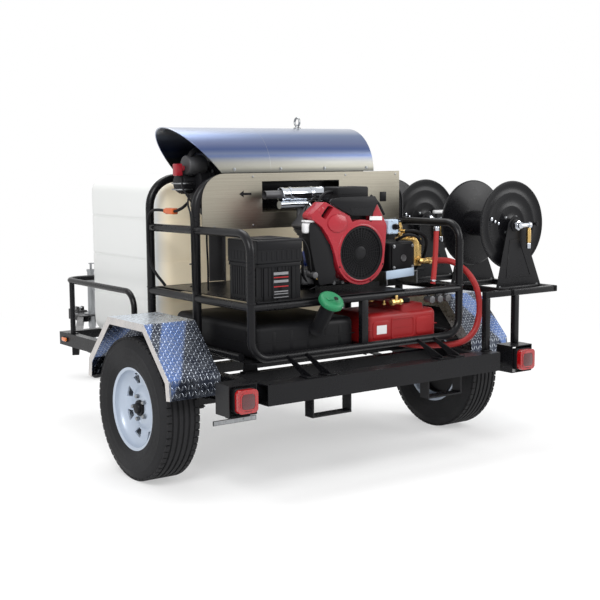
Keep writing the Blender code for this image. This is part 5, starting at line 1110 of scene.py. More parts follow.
def fit_engine_cylinders():
    """Finned cylinders, rocker covers, shield, regulator, plug leads, starter and oil cooler."""
    fins = [bank(side, low, low + 0.0035, 0.148, 0.176, 0.002) for side in (-1, 1)
            for low in [0.148 + 0.0095 * level for level in range(9)]]
    finish(fins, "cylinder_fins", "grey_casting")
    covers = [bank(side, 0.24, 0.261, 0.128, 0.15, 0.009) for side in (-1, 1)]
    finish(covers, "rocker_covers", "grey_casting")
    edge = [(-0.25, 1.125), (-0.25, 1.19)] + arc((-0.226, 1.19), 0.024, 170.0, 60.0, 6)
    edge += [(-0.19, 1.188), (-0.158, 1.14), (-0.127, 1.1), (-0.109, 1.054), (-0.105, 1.0), (-0.092, 0.962),
             (-0.106, 0.912)]
    edge += [(-0.19, 0.905), (-0.212, 0.96), (-0.228, 1.02), (-0.24, 1.07)]
    shield = upright([edge[::-1]], 0.062, -0.331, 0.022, 6)
    finish(shield, "left_cylinder_shield", "black_casting", angle=50.0)
    finish(cube((-0.276, -0.356, 1.16), (-0.232, -0.326, 1.212), 0.01, 3), "regulator_block", "label_white")
    finish(cube((-0.275, -0.362, 1.2125), (-0.196, -0.328, 1.2225), 0.003, 2, (0.0, math.radians(3.0), 0.0)),
           "regulator_clamp", "label_white")
    routes = (([(-0.24, -0.33, 1.214), (-0.235, -0.3, 1.25), (-0.216, -0.295, 1.29), (-0.185, -0.29, 1.318),
                (-0.14, -0.26, 1.33)], 18), ([(-0.12, -0.3, 1.14), (-0.165, -0.316, 1.12),
                                              (-0.168, -0.318, 1.07), (-0.128, -0.306, 1.035)], 16),
              ([(-0.1, -0.296, 1.01), (-0.17, -0.32, 0.99), (-0.23, -0.3, 0.96), (-0.26, -0.27, 0.93)], 16),
              ([(-0.07, -0.29, 0.96), (-0.14, -0.33, 0.94), (-0.18, -0.335, 0.905), (-0.22, -0.32, 0.884)],
               16))
    leads = [cord(knots, count, sizes().lead / 2, 10) for knots, count in routes]
    finish(leads, "plug_leads", "cable_black")
    starter = joined(drum(0.036, 0.13, (-0.092, -0.205, 0.952), "Y", 36, 0.005),
                     drum(0.03, 0.02, (-0.092, -0.28, 0.952), "Y", 30, 0.004),
                     drum(0.018, 0.08, (-0.104, -0.215, 1.003), "Y", 24, 0.004),
                     cube((-0.268, -0.32, 0.905), (-0.15, -0.25, 0.975), 0.014, 3),
                     drum(0.016, 0.09, (-0.225, -0.33, 0.958), "Y", 20, 0.003))
    finish(starter, "starter_motor", "grey_casting")
    finish(drum(0.0085, 0.012, (-0.2, -0.352, 0.94), "Y", 6, 0.001), "oil_drain_plug", "brass")
    cooler = [cube((CRANK.x + 0.15, -0.292, 0.995 + 0.012 * i), (CRANK.x + 0.196, -0.2, 0.9985 + 0.012 * i),
                   0.001, 1) for i in range(9)]
    finish([cube((CRANK.x + 0.138, -0.286, 0.985), (CRANK.x + 0.166, -0.206, 1.105), 0.006, 2), *cooler],
           "oil_cooler", "grey_casting")
    pan_bolts = [(CRANK.x + dx, ENGINE_REAR - 0.0004, 0.905) for dx in (-0.115, -0.06, 0.0, 0.06, 0.115)]
    finish(bolts(pan_bolts, "-Y", 0.013, 0.006), "sump_bolts", "zinc_plate")


def fit_air_box():
    """The black air box on top of the engine, with its lid, clips and the bare front panel below it."""
    x, low, high, left, right, rear, front = CRANK.x, 1.306, 1.378, -0.062, 0.13, -0.345, -0.22
    box = cube((left, rear, low), (right, front, high), 0.01, 4)
    box = carved(box, carved(cube((left - 0.01, rear - 0.01, low + 0.034),
                                  (right + 0.01, front + 0.01, low + 0.0365)),
                             cube((left + 0.002, rear + 0.002, low), (right - 0.002, front - 0.002, high))))
    ribs = [cube((left + 0.016 + 0.024 * i, rear + 0.03, high - 0.001),
                 (left + 0.022 + 0.024 * i, front - 0.02, high + 0.0008), 0.0004, 1) for i in range(7)]
    loop = cord([(-0.066, -0.3, 1.352), (-0.11, -0.305, 1.35), (-0.15, -0.31, 1.32), (-0.172, -0.315, 1.27)],
                16, 0.0075, 12)
    finish([box, loop, *ribs], "air_box_looks", "black_polyethylene", "air_cleaner")
    brow = low + 0.024
    plate = [(x - 0.205, brow - 0.022), (x - 0.14, brow - 0.056), (x - 0.068, brow - 0.091)]
    plate += arc((x + 0.052, brow - 0.084), 0.012, 270.0, 340.0, 4) + [(x + 0.084, brow - 0.052),
                                                                       (x + 0.1, brow - 0.03)]
    plate += [(x + 0.08, brow), (x - 0.12, brow), (x - 0.19, brow - 0.008)]
    finish(upright([plate], 0.0094, -0.3803, 0.003, 3), "front_panel", "black_casting", angle=40.0)
    inner = [(x - 0.062, brow - 0.082), (x + 0.048, brow - 0.084), (x + 0.068, brow - 0.058),
             (x - 0.078, brow - 0.056)]
    finish(upright([inner], 0.001, -0.3853, 0.0003, 1), "front_panel_field", "black_paint")
    trim = cord([(0.135, -0.352, 1.334), (0.16, -0.366, 1.306), (0.178, -0.37, 1.284), (0.21, -0.366, 1.236)],
                16, 0.0065, 12)
    finish(trim, "choke_lead", "cable_black")


def fit_muffler():
    """The bright silencer across the back of the engine: seams, straps, tailpipe and balance pipe."""
    x0, x1, y, z, r = -0.211, 0.05, -0.06, 1.339, 0.037
    profile = [(0.0, x0 + 0.006), (0.024, x0 + 0.003), (0.033, x0), (r, x0 + 0.004), (r, x0 + 0.014),
               (r - 0.0015, x0 + 0.017), (r - 0.0015, x1 - 0.017), (r, x1 - 0.014), (r, x1 - 0.004),
               (0.033, x1), (0.024, x1 - 0.003), (0.0, x1 - 0.006)]
    can = lathe(profile, (0.0, y, z), "X", 64)
    straps = [band(r - 0.003, r + 0.0006, s, s + 0.016, (0.0, y, z), "X", 48) for s in (-0.165, -0.035)]
    lower = tube(bent([(-0.23, -0.08, 1.288), (-0.06, -0.08, 1.288), (-0.03, -0.08, 1.25)], 0.024, 6), 0.02)
    finish([can, lower, *straps], "silencer_looks", "chrome", "muffler", angle=40.0)
    pipe = band(0.019, 0.021, -0.306, x0 + 0.004, (0.0, y, z), "X", 32)
    finish(pipe, "tailpipe", "grey_casting")


def fit_oil_filter():
    """The blue filter canister with its rolled seams and grip flutes."""
    x0, x1, y, z, r = -0.206, -0.082, -0.25, 1.03, 0.04
    can = lathe([(0.0, x0), (0.026, x0 + 0.001), (0.034, x0 + 0.005), (r - 0.001, x0 + 0.013),
                 (r - 0.001, x0 + 0.022), (r, x0 + 0.026), (r, x1 - 0.012), (r - 0.0015, x1 - 0.01),
                 (r - 0.0015, x1 - 0.004), (r, x1 - 0.002), (r, x1), (0.0, x1)], (0.0, y, z), "X", 48)
    flutes = rounds(drum(0.003, 0.02, (x0 + 0.016, y, z + r - 0.0035), "X", 10, 0.001), 14, "X", (0.0, y, z))
    finish([can, flutes], "oil_filter_looks", "blue_paint", "oil_filter")


def fit_controls():
    """The key switch's bezel, the plate's screws and the key's bow."""
    front = -0.3813
    bezel = lathe([(0.0165, 0.004), (0.0165, -0.002), (0.015, -0.0035), (0.0125, -0.0035), (0.0125, 0.004),
                   (0.0165, 0.004)], (0.2753, front, 1.173), "Y", 40)
    screws = [drum(0.0032, 0.002, (x, front - 0.0008, z), "Y", 14, 0.0005) for x in (0.25, 0.3005)
              for z in (1.144, 1.202)]
    finish([bezel, *screws], "key_bezel", "zinc_plate")
    bow = drum(0.0098, 0.0035, (0.2753, front - 0.02, 1.173), "X", 28, 0.001)
    finish(bow, "key_bow", "black_polyethylene", body="key")


def fit_battery():
    """Ribs, a label of plain bars and the leads on the battery's box."""
    x0, x1, y0, y1 = -0.59, -0.35, -0.42, -0.18
    parts = []
    for i in range(11):
        at = x0 + 0.022 + i * 0.0195
        parts.append(cube((at - 0.0035, y0 - 0.003, 0.882), (at + 0.0035, y0 + 0.002, 1.018), 0.0012, 1))
    for i in range(11):
        at = y0 + 0.022 + i * 0.0195
        parts.append(cube((x0 - 0.003, at - 0.0035, 0.882), (x0 + 0.002, at + 0.0035, 1.018), 0.0012, 1))
        parts.append(cube((x1 - 0.002, at - 0.0035, 0.882), (x1 + 0.003, at + 0.0035, 1.018), 0.0012, 1))
    parts.append(cube((x0 - 0.0045, y0 - 0.0045, 1.018), (x1 + 0.0045, y1 + 0.0045, 1.0345), 0.002, 2))
    finish(parts, "battery_case_ribs", "black_polyethylene")
    lid = [cube((x0 - 0.006, y0 - 0.01, 1.1), (x1 + 0.006, y0 - 0.007, 1.135), 0.002, 2),
           cube((x0 + 0.03, y0 + 0.03, 1.144), (x1 - 0.03, y1 - 0.03, 1.149), 0.002, 2)]
    for i in range(8):
        at = x0 + 0.02 + i * 0.0285
        lid.append(cube((at - 0.006, y0 - 0.01, 1.05), (at + 0.006, y0 - 0.007, 1.094), 0.0015, 1))
        at = y0 + 0.02 + i * 0.0285
        lid.append(cube((x0 - 0.01, at - 0.006, 1.05), (x0 - 0.007, at + 0.006, 1.094), 0.0015, 1))
    finish(lid, "battery_lid_ribs", "black_polyethylene", body="battery_cover")
    left, right = -0.505, -0.422
    finish(cube((left - 0.006, -0.425, 0.87), (right + 0.008, -0.4234, 0.998), 0.0005, 1), "battery_label",
           "black_casting")
    bars = [(0.98, 0.993, 0.0), (0.944, 0.956, 0.0), (0.9, 0.905, 0.002), (0.889, 0.893, 0.002),
            (0.873, 0.877, 0.0)]
    finish([cube((left + inset, -0.4256, low), (right - inset, -0.4249, high)) for low, high, inset in bars],
           "battery_label_bars", "label_grey")
    finish([cube((left, -0.4256, low), (right, -0.4249, low + 0.005)) for low in (0.966, 0.923)],
           "battery_label_stripes", "red_polyethylene")
    strap = cord([(-0.35, -0.31, 1.12), (-0.3, -0.32, 1.128), (-0.275, -0.33, 1.05), (-0.262, -0.322, 0.96),
                  (-0.22, -0.31, 0.905)], 20, 0.0065, 12)
    second = cord([(-0.35, -0.345, 1.125), (-0.292, -0.352, 1.136), (-0.254, -0.356, 1.075),
                   (-0.236, -0.35, 0.985), (-0.2, -0.33, 0.93)], 20, 0.0055, 12)
    finish([strap, second], "battery_leads", "cable_black")


# ------------------------------------------------------------------ heater
HEATER = Vector((0.0, 0.26, 1.4))


def fit_hood():
    """The polished half-round cover with its visor end, rolled edges, end plate and lifting eye."""
    hem, foot, end, visor = 0.2262, -0.495, 0.47, 0.205
    outer = arc((HEATER.y, HOOD_BASE), HOOD_RADIUS, 180.0, 0.0, 72)
    inner = arc((HEATER.y, HOOD_BASE), 0.225, 0.0, 180.0, 72)
    long = 1.17
    hood = slab([outer + inner], long, (end - long / 2, 0.0, 0.0), "YZ")
    slope = math.atan2(visor, HOOD_RADIUS)
    normal = Vector((-math.cos(slope), 0.0, -math.sin(slope)))
    centre = Vector((foot, HEATER.y, HOOD_BASE)) + normal * 0.5
    half = Vector((0.5, 0.5, 0.5))
    hood = carved(hood, cube(centre - half, centre + half, turn=(0.0, -slope, 0.0)))
    edge = []
    for step in range(49):
        a = math.pi * step / 48
        z = HOOD_BASE + hem * math.sin(a)
        edge.append((foot - (z - HOOD_BASE) * math.tan(slope) + 0.0035, HEATER.y - hem * math.cos(a), z))
    parts = [hood, tube(edge, 0.0026, sides=10)]
    for y in (HEATER.y - hem, HEATER.y + hem):
        parts.append(tube([(-0.49, y, HOOD_BASE + 0.0026), (0.469, y, HOOD_BASE + 0.0026)], 0.0026, sides=10))
    plate = arc((HEATER.y, HOOD_BASE + 0.002), 0.224, 180.0, 0.0, 48)
    parts.append(slab([plate], 0.003, (0.466, 0.0, 0.0), "YZ"))
    finish(parts, "hood_looks", "polished_stainless", "heater_hood", angle=40.0)
    top = HOOD_BASE + HOOD_RADIUS
    ring_line = [(0.128, HEATER.y + a, top + 0.034 + b) for a, b in circle((0.0, 0.0), 0.0215, 40)]
    eye = joined(lathe([(0.0, top - 0.004), (0.02, top - 0.002), (0.02, top + 0.004), (0.012, top + 0.008),
                        (0.01, top + 0.014), (0.0, top + 0.015)], (0.128, HEATER.y, 0.0), sides=28),
                 tube(ring_line, 0.0058, closed=True, sides=14))
    finish(eye, "lifting_eye", "zinc_plate")
    seam = tube([(-0.2, *spot) for spot in arc((HEATER.y, HOOD_BASE), 0.2272, 4.0, 176.0, 40)], 0.0011,
                sides=6)
    spots = [(x, HEATER.y - 0.2275, HOOD_BASE + 0.018) for x in (-0.42, -0.14, 0.14, 0.42)]
    finish([seam, bolts(spots, "-Y", 0.012, 0.004)], "hood_fasteners", "zinc_plate")


def fit_shell():
    """The black coil housing under the hood with end rings, its lugs and bands."""
    rings = []
    profile = [(0.0, 0.45), (0.171, 0.45), (0.175, 0.446), (0.175, 0.4385), (0.173, 0.4365), (0.173, -0.4365),
               (0.175, -0.4385), (0.175, -0.446), (0.171, -0.45), (0.06, -0.45), (0.06, -0.446),
               (0.169, -0.446), (0.169, 0.446), (0.0, 0.446)]
    shell = lathe(profile, (0.0, HEATER.y, HEATER.z), "X", 72)
    for x in (-0.28, 0.28):
        rings.append(band(0.1725, 0.1752, x - 0.016, x + 0.016, (0.0, HEATER.y, HEATER.z), "X", 72))
        for side in (-1, 1):
            low_y, high_y = sorted((HEATER.y + side * 0.158, HEATER.y + side * 0.24))
            rings.append(cube((x - 0.03, low_y, 1.4423), (x + 0.03, high_y, 1.4483), 0.001, 1))
            brace = [(HEATER.y + side * 0.172, 1.4423), (HEATER.y + side * 0.218, 1.4423),
                     (HEATER.y + side * 0.172, 1.396)]
            rings.append(slab([brace], 0.004, (x, 0.0, 0.0), "YZ"))
    finish([shell, *rings], "shell_looks", "black_paint", "heater_shell")


def fit_burner():
    """The burner: mounting flange, air tube, blower wheel housing, motor, fuel pump, lines and cables."""
    x0, y, z = -0.4503, HEATER.y, HEATER.z
    tube_part = lathe([(0.0, 0.058), (0.045, 0.058), (0.045, -0.002), (0.106, -0.002), (0.11, -0.0035),
                       (0.11, -0.0065), (0.085, -0.0085), (0.085, -0.018), (0.082, -0.02), (0.082, -0.07),
                       (0.085, -0.073), (0.083, -0.079), (0.068, -0.085), (0.052, -0.087), (0.052, -0.15),
                       (0.05, -0.154), (0.046, -0.156), (0.044, -0.164), (0.03, -0.1675), (0.0, -0.168)],
                      (x0, y, z), "X", 48)
    fins = rounds(cube((x0 - 0.146, y - 0.0015, z + 0.05), (x0 - 0.092, y + 0.0015, z + 0.0555), 0.0006, 1),
                  18, "X", (0.0, y, z))
    pump = joined(cube((x0 - 0.078, y - 0.03, z - 0.13), (x0 - 0.02, y + 0.03, z - 0.06), 0.01, 3),
                  drum(0.02, 0.02, (x0 - 0.049, y - 0.033, z - 0.1), "Y", 28, 0.002),
                  cube((x0 - 0.15, y - 0.03, z + 0.04), (x0 - 0.095, y + 0.03, z + 0.0602), 0.003, 2))
    finish([tube_part, fins, pump], "burner_looks", "black_casting", "burner")
    low = HEATER.z + 0.06 + 0.0003
    box = joined(cube((-0.648, 0.212, 1.436), (-0.61, 0.25, 1.497), 0.005, 3),
                 cube((x0 - 0.158, y - 0.038, low), (x0 - 0.14, y + 0.03, low + 0.026), 0.006, 3))
    conduit = cord([(-0.56, 0.215, 1.44), (-0.575, 0.205, 1.52), (-0.545, 0.205, 1.56), (-0.49, 0.215, 1.56)],
                   18, 0.014, 14)
    finish(conduit, "burner_conduit", "cable_black")
    shell = lathe([(0.0, -0.052), (0.046, -0.052), (0.05, -0.046), (0.05, 0.046), (0.046, 0.052),
                   (0.0, 0.052)], (-0.5385, 0.222, 1.489), "X", 40)
    finish(shell, "igniter_transformer", "grey_casting")
    bands = [band(0.0505, 0.053, s, s + 0.006, (-0.61, 0.222, 0.0), "Z", 36) for s in (1.366, 1.396)]
    finish(bands, "burner_bands", "zinc_plate")
    finish(box, "igniter_looks", "red_engine_cover", "burner_igniter")
    finish(bolts([(x0 - 0.0065, y + 0.097 * math.cos(a), z + 0.097 * math.sin(a))
                  for a in (0.6, 2.5, 3.8, 5.6)], "-X", 0.013, 0.006), "burner_bolts", "zinc_plate")
    post = Vector((-SKID_X - 0.006, ARCH_REAR_Y, 0.0))
    routes = [[(x0 - 0.12, y - 0.03, z - 0.06), (x0 - 0.165, 0.15, 1.335), (-0.665, 0.075, 1.3),
               (-0.688, 0.01, 1.24), (-0.69, 0.002, 1.1), (-0.688, 0.004, 0.96), (-0.684, 0.006, 0.88)],
              [(x0 - 0.08, y - 0.031, z - 0.11), (x0 - 0.12, 0.16, 1.24), (-0.64, 0.06, 1.19),
               (-0.684, 0.0, 1.15), (-0.676, -0.006, 1.04), (-0.676, -0.004, 0.92), (-0.672, -0.006, 0.87)],
              [(x0 - 0.15, y - 0.02, z + 0.05), (x0 - 0.185, 0.18, 1.4), (-0.668, 0.11, 1.37),
               (-0.64, 0.06, 1.29), (-0.6, 0.12, 1.27)]]
    cables = [cord(route, 36, sizes().cable / 2, 10) for route in routes]
    ties = [band(0.026, 0.0275, h - 0.002, h + 0.002, (post.x - 0.003, post.y - 0.002, 0.0), sides=28)
            for h in (1.18, 1.01, 0.9)]
    finish([*cables, *ties], "burner_cables", "cable_black")
    finish([cube((-0.676, 0.215, 1.246), (-0.64, 0.287, 1.276), 0.005, 3),
            cube((-0.672, 0.287, 1.25), (-0.644, 0.31, 1.272), 0.003, 2)], "cable_connector",
           "connector_orange")
    trunk = cord([(-0.6, 0.19, 1.3), (-0.64, 0.17, 1.28), (-0.66, 0.21, 1.262), (-0.662, 0.3, 1.262),
                  (-0.672, 0.42, 1.258), (-0.682, 0.452, 1.2), (-0.684, 0.448, 1.05), (-0.676, 0.42, 0.96),
                  (-0.64, 0.36, 0.875)], 44, 0.0075, 12)
    finish(trunk, "connector_lead", "cable_black")
    line = cord([(x0 - 0.049, y - 0.043, z - 0.1), (x0 - 0.06, 0.12, 1.25), (-0.56, 0.075, 1.15),
                 (-0.56, 0.07, 1.0), (-0.56, 0.07, 0.868)], 28, 0.005, 10)
    finish(line, "burner_fuel_line", "cable_black")
    leg = joined(cube((-0.3, 0.48, DECK_TOP), (-0.214, 0.486, 1.24), 0.001, 1),
                 cube((-0.22, 0.45, DECK_TOP), (-0.214, 0.483, 1.24), 0.001, 1))
    finish(leg, "heater_leg", "grey_casting")


def fit_panel():
    """Folded lip, rivets, a dark port and a plain arrow on the heat panel."""
    y = 0.0047
    lip = [cube((-0.275 - 0.004, y - 0.0012, 1.246), (0.213 + 0.004, y + 0.0008, 1.25), 0.0005, 1),
           cube((-0.275 - 0.004, y - 0.0012, 1.405), (0.213 + 0.004, y + 0.0008, 1.409), 0.0005, 1)]
    finish(lip, "panel_lip", "brushed_stainless")
    rivets = [drum(0.0055, 0.003, (x, y - 0.001, z), "Y", 20, 0.001) for x in (-0.56, -0.33, 0.255, 0.6)
              for z in (1.188, 1.43) if not (x < -0.5 and z > 1.3)]
    finish(rivets, "panel_rivets", "zinc_plate")
    arrow = upright([[(-0.412, 1.345), (-0.386, 1.362), (-0.386, 1.351), (-0.34, 1.35), (-0.34, 1.339),
                      (-0.386, 1.339), (-0.386, 1.328)]], 0.0008, y - 0.0006)
    port = cube((0.492, y - 0.005, 1.284), (0.534, y + 0.002, 1.336), 0.006, 3)
    finish([arrow, port], "panel_marks", "black_casting")


# ------------------------------------------------------------------ tanks
TANK_X = 0.56


def fit_water_tank():
    """The white moulded tank with soft corners, shallow ribs, neck and outlet."""
    tank = cube((-TANK_X, 0.55, FRAME_TOP), (TANK_X, 1.41, 1.42), 0.085, 10)
    grooves = [carved(cube((-TANK_X - 0.04, 0.51, z - 0.007), (TANK_X + 0.04, 1.45, z + 0.007)),
                      cube((0.0032 - TANK_X, 0.5532, 0.4), (TANK_X - 0.0032, 1.4068, 1.5), 0.082, 8))
               for z in (0.76, 0.98, 1.2)]
    tank = carved(tank, *grooves)
    neck = lathe([(0.0995, 1.418), (0.096, 1.4215), (0.0905, 1.426), (0.09, 1.449), (0.084, 1.449),
                  (0.084, 1.418), (0.0995, 1.418)], (0.0, 0.98, 0.0), sides=56)
    outlet = lathe([(0.01, 0.5305), (0.02, 0.5305), (0.02, 0.54), (0.026, 0.542), (0.026, 0.556),
                    (0.01, 0.556), (0.01, 0.5305)], (0.43, 0.0, 0.5435), "Y", 32)
    finish([tank, neck, outlet], "water_tank_looks", "white_polyethylene", "water_tank", angle=40.0)
    base = 1.4503
    lid = lathe([(0.0, base + 0.0395), (0.06, base + 0.0385), (0.088, base + 0.035), (0.094, base + 0.03),
                 (0.0955, base + 0.022), (0.0955, base - 0.004), (0.093, base - 0.006),
                 (0.0912, base - 0.006), (0.0912, base), (0.0, base)], (0.0, 0.98, 0.0), sides=64)
    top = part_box("tank_lid")[1][2]
    lid.data.transform(Matrix.Translation((0.0, 0.0, top - (base + 0.0395))))
    grip = cube((0.093, 0.98 - 0.0035, top - 0.04), (0.0985, 0.98 + 0.0035, top - 0.01), 0.0015, 2)
    grips = rounds(grip, 28, "Z", (0.0, 0.98, 0.0))
    finish([lid, grips], "tank_lid_looks", "black_polyethylene", "tank_lid", body="water_lid")


def fit_diesel_tank():
    """The long black tank under the deck with its leaning neck and the wide green cap."""
    low, high = POD_BASE, POD_TOP
    tank = cube((-0.604, -0.415, low), (-0.02, 0.33, high), 0.032, 6)
    ribs = [cube((x - 0.01, -0.4165, low + 0.04), (x + 0.01, 0.3315, high - 0.034), 0.004, 2)
            for x in (-0.5, -0.4, -0.3, -0.11)]
    seam = carved(cube((-0.6052, -0.4162, 0.662), (-0.0188, 0.3312, 0.666)),
                  cube((-0.59, -0.401, 0.6), (-0.034, 0.317, 0.72), 0.02, 3))
    lean = math.radians(37.0)
    away = Vector((0.0, -math.sin(lean), math.cos(lean)))
    start = Vector((-0.252, -0.395, high - 0.08))
    tilt = (lean, 0.0, 0.0)
    neck = lathe([(0.046, 0.04), (0.04, 0.052), (0.0362, 0.066), (0.0362, 0.226), (0.031, 0.226),
                  (0.031, 0.04), (0.046, 0.04)], start, sides=40, turn=tilt)
    finish([tank, *ribs, seam, neck], "diesel_tank_looks", "black_polyethylene", "diesel_tank")
    seat = start + away * (0.228 + 0.0003)
    cap = lathe([(0.0, 0.015), (0.036, 0.015), (0.04, 0.0175), (0.05, 0.017), (0.057, 0.013), (0.06, 0.008),
                 (0.0605, -0.008), (0.059, -0.0108), (0.038, -0.011), (0.0372, -0.008), (0.0372, 0.0),
                 (0.0, 0.0)], seat, sides=64, turn=tilt)
    grips = rounds(cube((0.059, -0.004, -0.0095), (0.062, 0.004, 0.008), 0.0012, 1), 26)
    handle = cube((-0.03, -0.0075, 0.0145), (0.03, 0.0075, 0.018), 0.0015, 2)
    for made in (grips, handle):
        made.rotation_euler = tilt
        made.location = seat
        settle(made)
    finish([cap, grips, handle], "diesel_cap_looks", "green_cap", "diesel_cap", body="diesel_filler_cap")
    vent = drum(0.011, 0.0016, seat + away * 0.0156 + Vector((0.006, -0.022, 0.004)), "Z", 24, turn=tilt)
    finish(vent, "diesel_cap_vent", "black_polyethylene", body="diesel_filler_cap")


def fit_fuel_can():
    """The red engine fuel can: raised middle, front panels, seam, cap, fittings and line."""
    low, high, top = POD_BASE, POD_TOP, 0.7786
    can = cube((0.07, -0.41, low), (0.53, -0.11, high), 0.03, 6)
    hump = upright([[(0.292, high - 0.04), (0.456, high - 0.04), (0.446, top), (0.302, top)]], 0.28, -0.26,
                   0.012, 4)
    dents = [upright([box_line(x0, low + 0.034, x1, high - 0.04, 0.018)], 0.006, -0.41, 0.0025, 2) for x0,
             x1 in ((0.102, 0.212), (0.388, 0.498))]
    frame = upright([box_line(0.222, low + 0.024, 0.378, high - 0.03, 0.016),
                     box_line(0.232, low + 0.034, 0.368, high - 0.04, 0.012)[::-1]], 0.005, -0.4105, 0.002, 2)
    seam = carved(cube((0.0688, -0.4112, 0.6625), (0.5312, -0.1088, 0.6655)),
                  cube((0.085, -0.395, 0.6), (0.515, -0.125, 0.72), 0.02, 3))
    neck = lathe([(0.033, top - 0.004), (0.03, top + 0.001), (0.0262, top + 0.003), (0.0262, top + 0.0118),
                  (0.021, top + 0.0118), (0.021, top - 0.004), (0.033, top - 0.004)], (0.35, -0.345, 0.0),
                 sides=36)
    finish([can, hump, *dents, frame, seam, neck], "fuel_can_looks", "red_polyethylene", "fuel_can",
           angle=40.0)
    seat = top + 0.012 + 0.0003
    cap = lathe([(0.0, seat + 0.014), (0.02, seat + 0.0138), (0.024, seat + 0.0125), (0.034, seat + 0.0125),
                 (0.0385, seat + 0.0085), (0.039, seat - 0.006), (0.0375, seat - 0.0088),
                 (0.028, seat - 0.009), (0.0275, seat), (0.0, seat)], (0.35, -0.345, 0.0), sides=48)
    ribs = rounds(cube((0.35 + 0.0382, -0.3465, seat - 0.007), (0.35 + 0.0399, -0.3435, seat + 0.008), 0.0006,
                       1), 30, "Z", (0.35, -0.345, 0.0))
    finish([cap, ribs], "fuel_cap_looks", "black_polyethylene", "fuel_cap", body="fuel_filler_cap")
    finish(cube((0.126, -0.4144, 0.64), (0.19, -0.4128, 0.684), 0.0004, 1), "fuel_can_label", "label_white")
    fitting = joined(lathe([(0.0, 0.0), (0.01, 0.0), (0.01, 0.008), (0.006, 0.01), (0.006, 0.022),
                            (0.0, 0.023)], (0.23, -0.345, top - 0.002), sides=6),
                     lathe([(0.0, 0.0), (0.014, 0.0), (0.014, 0.006), (0.0, 0.007)],
                           (0.265, -0.2, top - 0.001), sides=24))
    finish(fitting, "fuel_can_fittings", "brass")
    line = cord([(0.23, -0.345, top + 0.02), (0.222, -0.352, 0.822), (0.15, -0.4, 0.84), (0.06, -0.42, 0.835),
                 (-0.02, -0.38, 0.85)], 26, 0.0045, 10)
    finish(line, "fuel_line", "cable_black")


# ------------------------------------------------------------------ pump
def hex_plug(centre, axis, radius, height, side=1.0):
    """A hexagon plug with its collar and a low button on top."""
    centre, out = Vector(centre), AXES[axis] * side
    return joined(drum(radius * 1.12, 0.003, centre + out * 0.0015, axis, 28, 0.0006),
                  drum(radius, height, centre + out * (0.003 + height / 2), axis, 6, 0.0012),
                  drum(radius * 0.55, 0.004, centre + out * (0.003 + height + 0.001), axis, 20, 0.0008))


def fit_pump():
    """The pump: ribbed crankcase, sight glass, brass head with plugs, unloader, elbow and thin hoses."""
    x0, x1, y0, y1, low, top = 0.33, 0.5, -0.27, -0.1, 0.93, 1.085
    case = cube((x0, y0, low), (x1, y1, top), 0.016, 4)
    ribs = [cube((x0 + 0.012, y0 + 0.018 + 0.019 * i, top - 0.003),
                 (x1 - 0.012, y0 + 0.023 + 0.019 * i, top + 0.0015), 0.001, 1) for i in range(8)]
    cover = upright([box_line(x0 + 0.01, low + 0.01, x1 - 0.01, top - 0.01, 0.022)], 0.012, y0 - 0.002, 0.003,
                    2)
    finish([case, *ribs, cover], "pump_case_looks", "black_casting", "pump_body")
    spots = [(x, y0 - 0.008, z) for x in (x0 + 0.022, x1 - 0.022) for z in (low + 0.022, top - 0.022)]
    finish(bolts(spots, "-Y", 0.013, 0.006), "pump_cover_bolts", "zinc_plate")
    glass = lathe([(0.0, -0.01), (0.013, -0.01), (0.0165, -0.012), (0.0185, -0.01), (0.0185, 0.0),
                   (0.0, 0.0)], (0.415, y0 - 0.002, 1.0), "Y", 32)
    finish(glass, "pump_sight_glass", "grey_casting")
    left, right = x1 + 0.0003, x1 + 0.0553
    rear, front = y0 + 0.006, y1 - 0.006
    head = [cube((left, rear, low + 0.02), (right, front, top + 0.012), 0.007, 3)]
    for index in range(3):
        y = rear + 0.03 + 0.05 * index
        head.append(hex_plug((left + 0.024, y, top + 0.012), "Z", 0.0165, 0.009))
        head.append(hex_plug((right, y, top - 0.03), "X", 0.0145, 0.009))
        head.append(hex_plug((right, y + 0.004, low + 0.046), "X", 0.0125, 0.008))
    port = low + 0.048
    head.append(hex_plug((left + 0.026, rear, port), "Y", 0.0185, 0.012, -1.0))
    head.append(tube(bent([(left + 0.026, rear, port), (left + 0.026, rear - 0.032, port),
                           (right + 0.03, rear - 0.032, port)], 0.02, 8), 0.015, sides=20))
    head.append(drum(0.0195, 0.018, (right + 0.022, rear - 0.032, port), "X", 6, 0.0015))
    head.append(drum(0.0175, 0.006, (right + 0.009, rear - 0.032, port), "X", 24, 0.001))
    finish(head, "pump_head_looks", "brass", "pump_manifold")
    unloader = joined(drum(0.015, 0.046, (0.528, -0.118, 1.135), "Z", 28, 0.002),
                      drum(0.018, 0.012, (0.528, -0.118, 1.118), "Z", 6, 0.001),
                      drum(0.011, 0.016, (0.528, -0.118, 1.166), "Z", 6, 0.001),
                      drum(0.0095, 0.04, (0.528, -0.145, 1.128), "Y", 20, 0.001))
    finish(unloader, "unloader_valve", "brass")
    finish(drum(0.0135, 0.02, (0.528, -0.118, 1.184), "Z", 24, 0.003), "unloader_knob", "black_polyethylene")
    pressure = [cord([(0.528, -0.164, 1.128), (0.56, -0.215, 1.128), (0.61, -0.235, 1.09), (0.64, -0.19, 1.0),
                      (0.645, -0.12, 0.93), (0.69, -0.05, 0.905), (0.79, -0.01, 0.9)], 34, 0.0095, 14),
                cord([(0.4, -0.24, 1.092), (0.42, -0.3, 1.12), (0.47, -0.32, 1.11), (0.52, -0.3, 1.07)], 22,
                     0.0075, 12)]
    finish(pressure, "pressure_hoses", "cable_black")


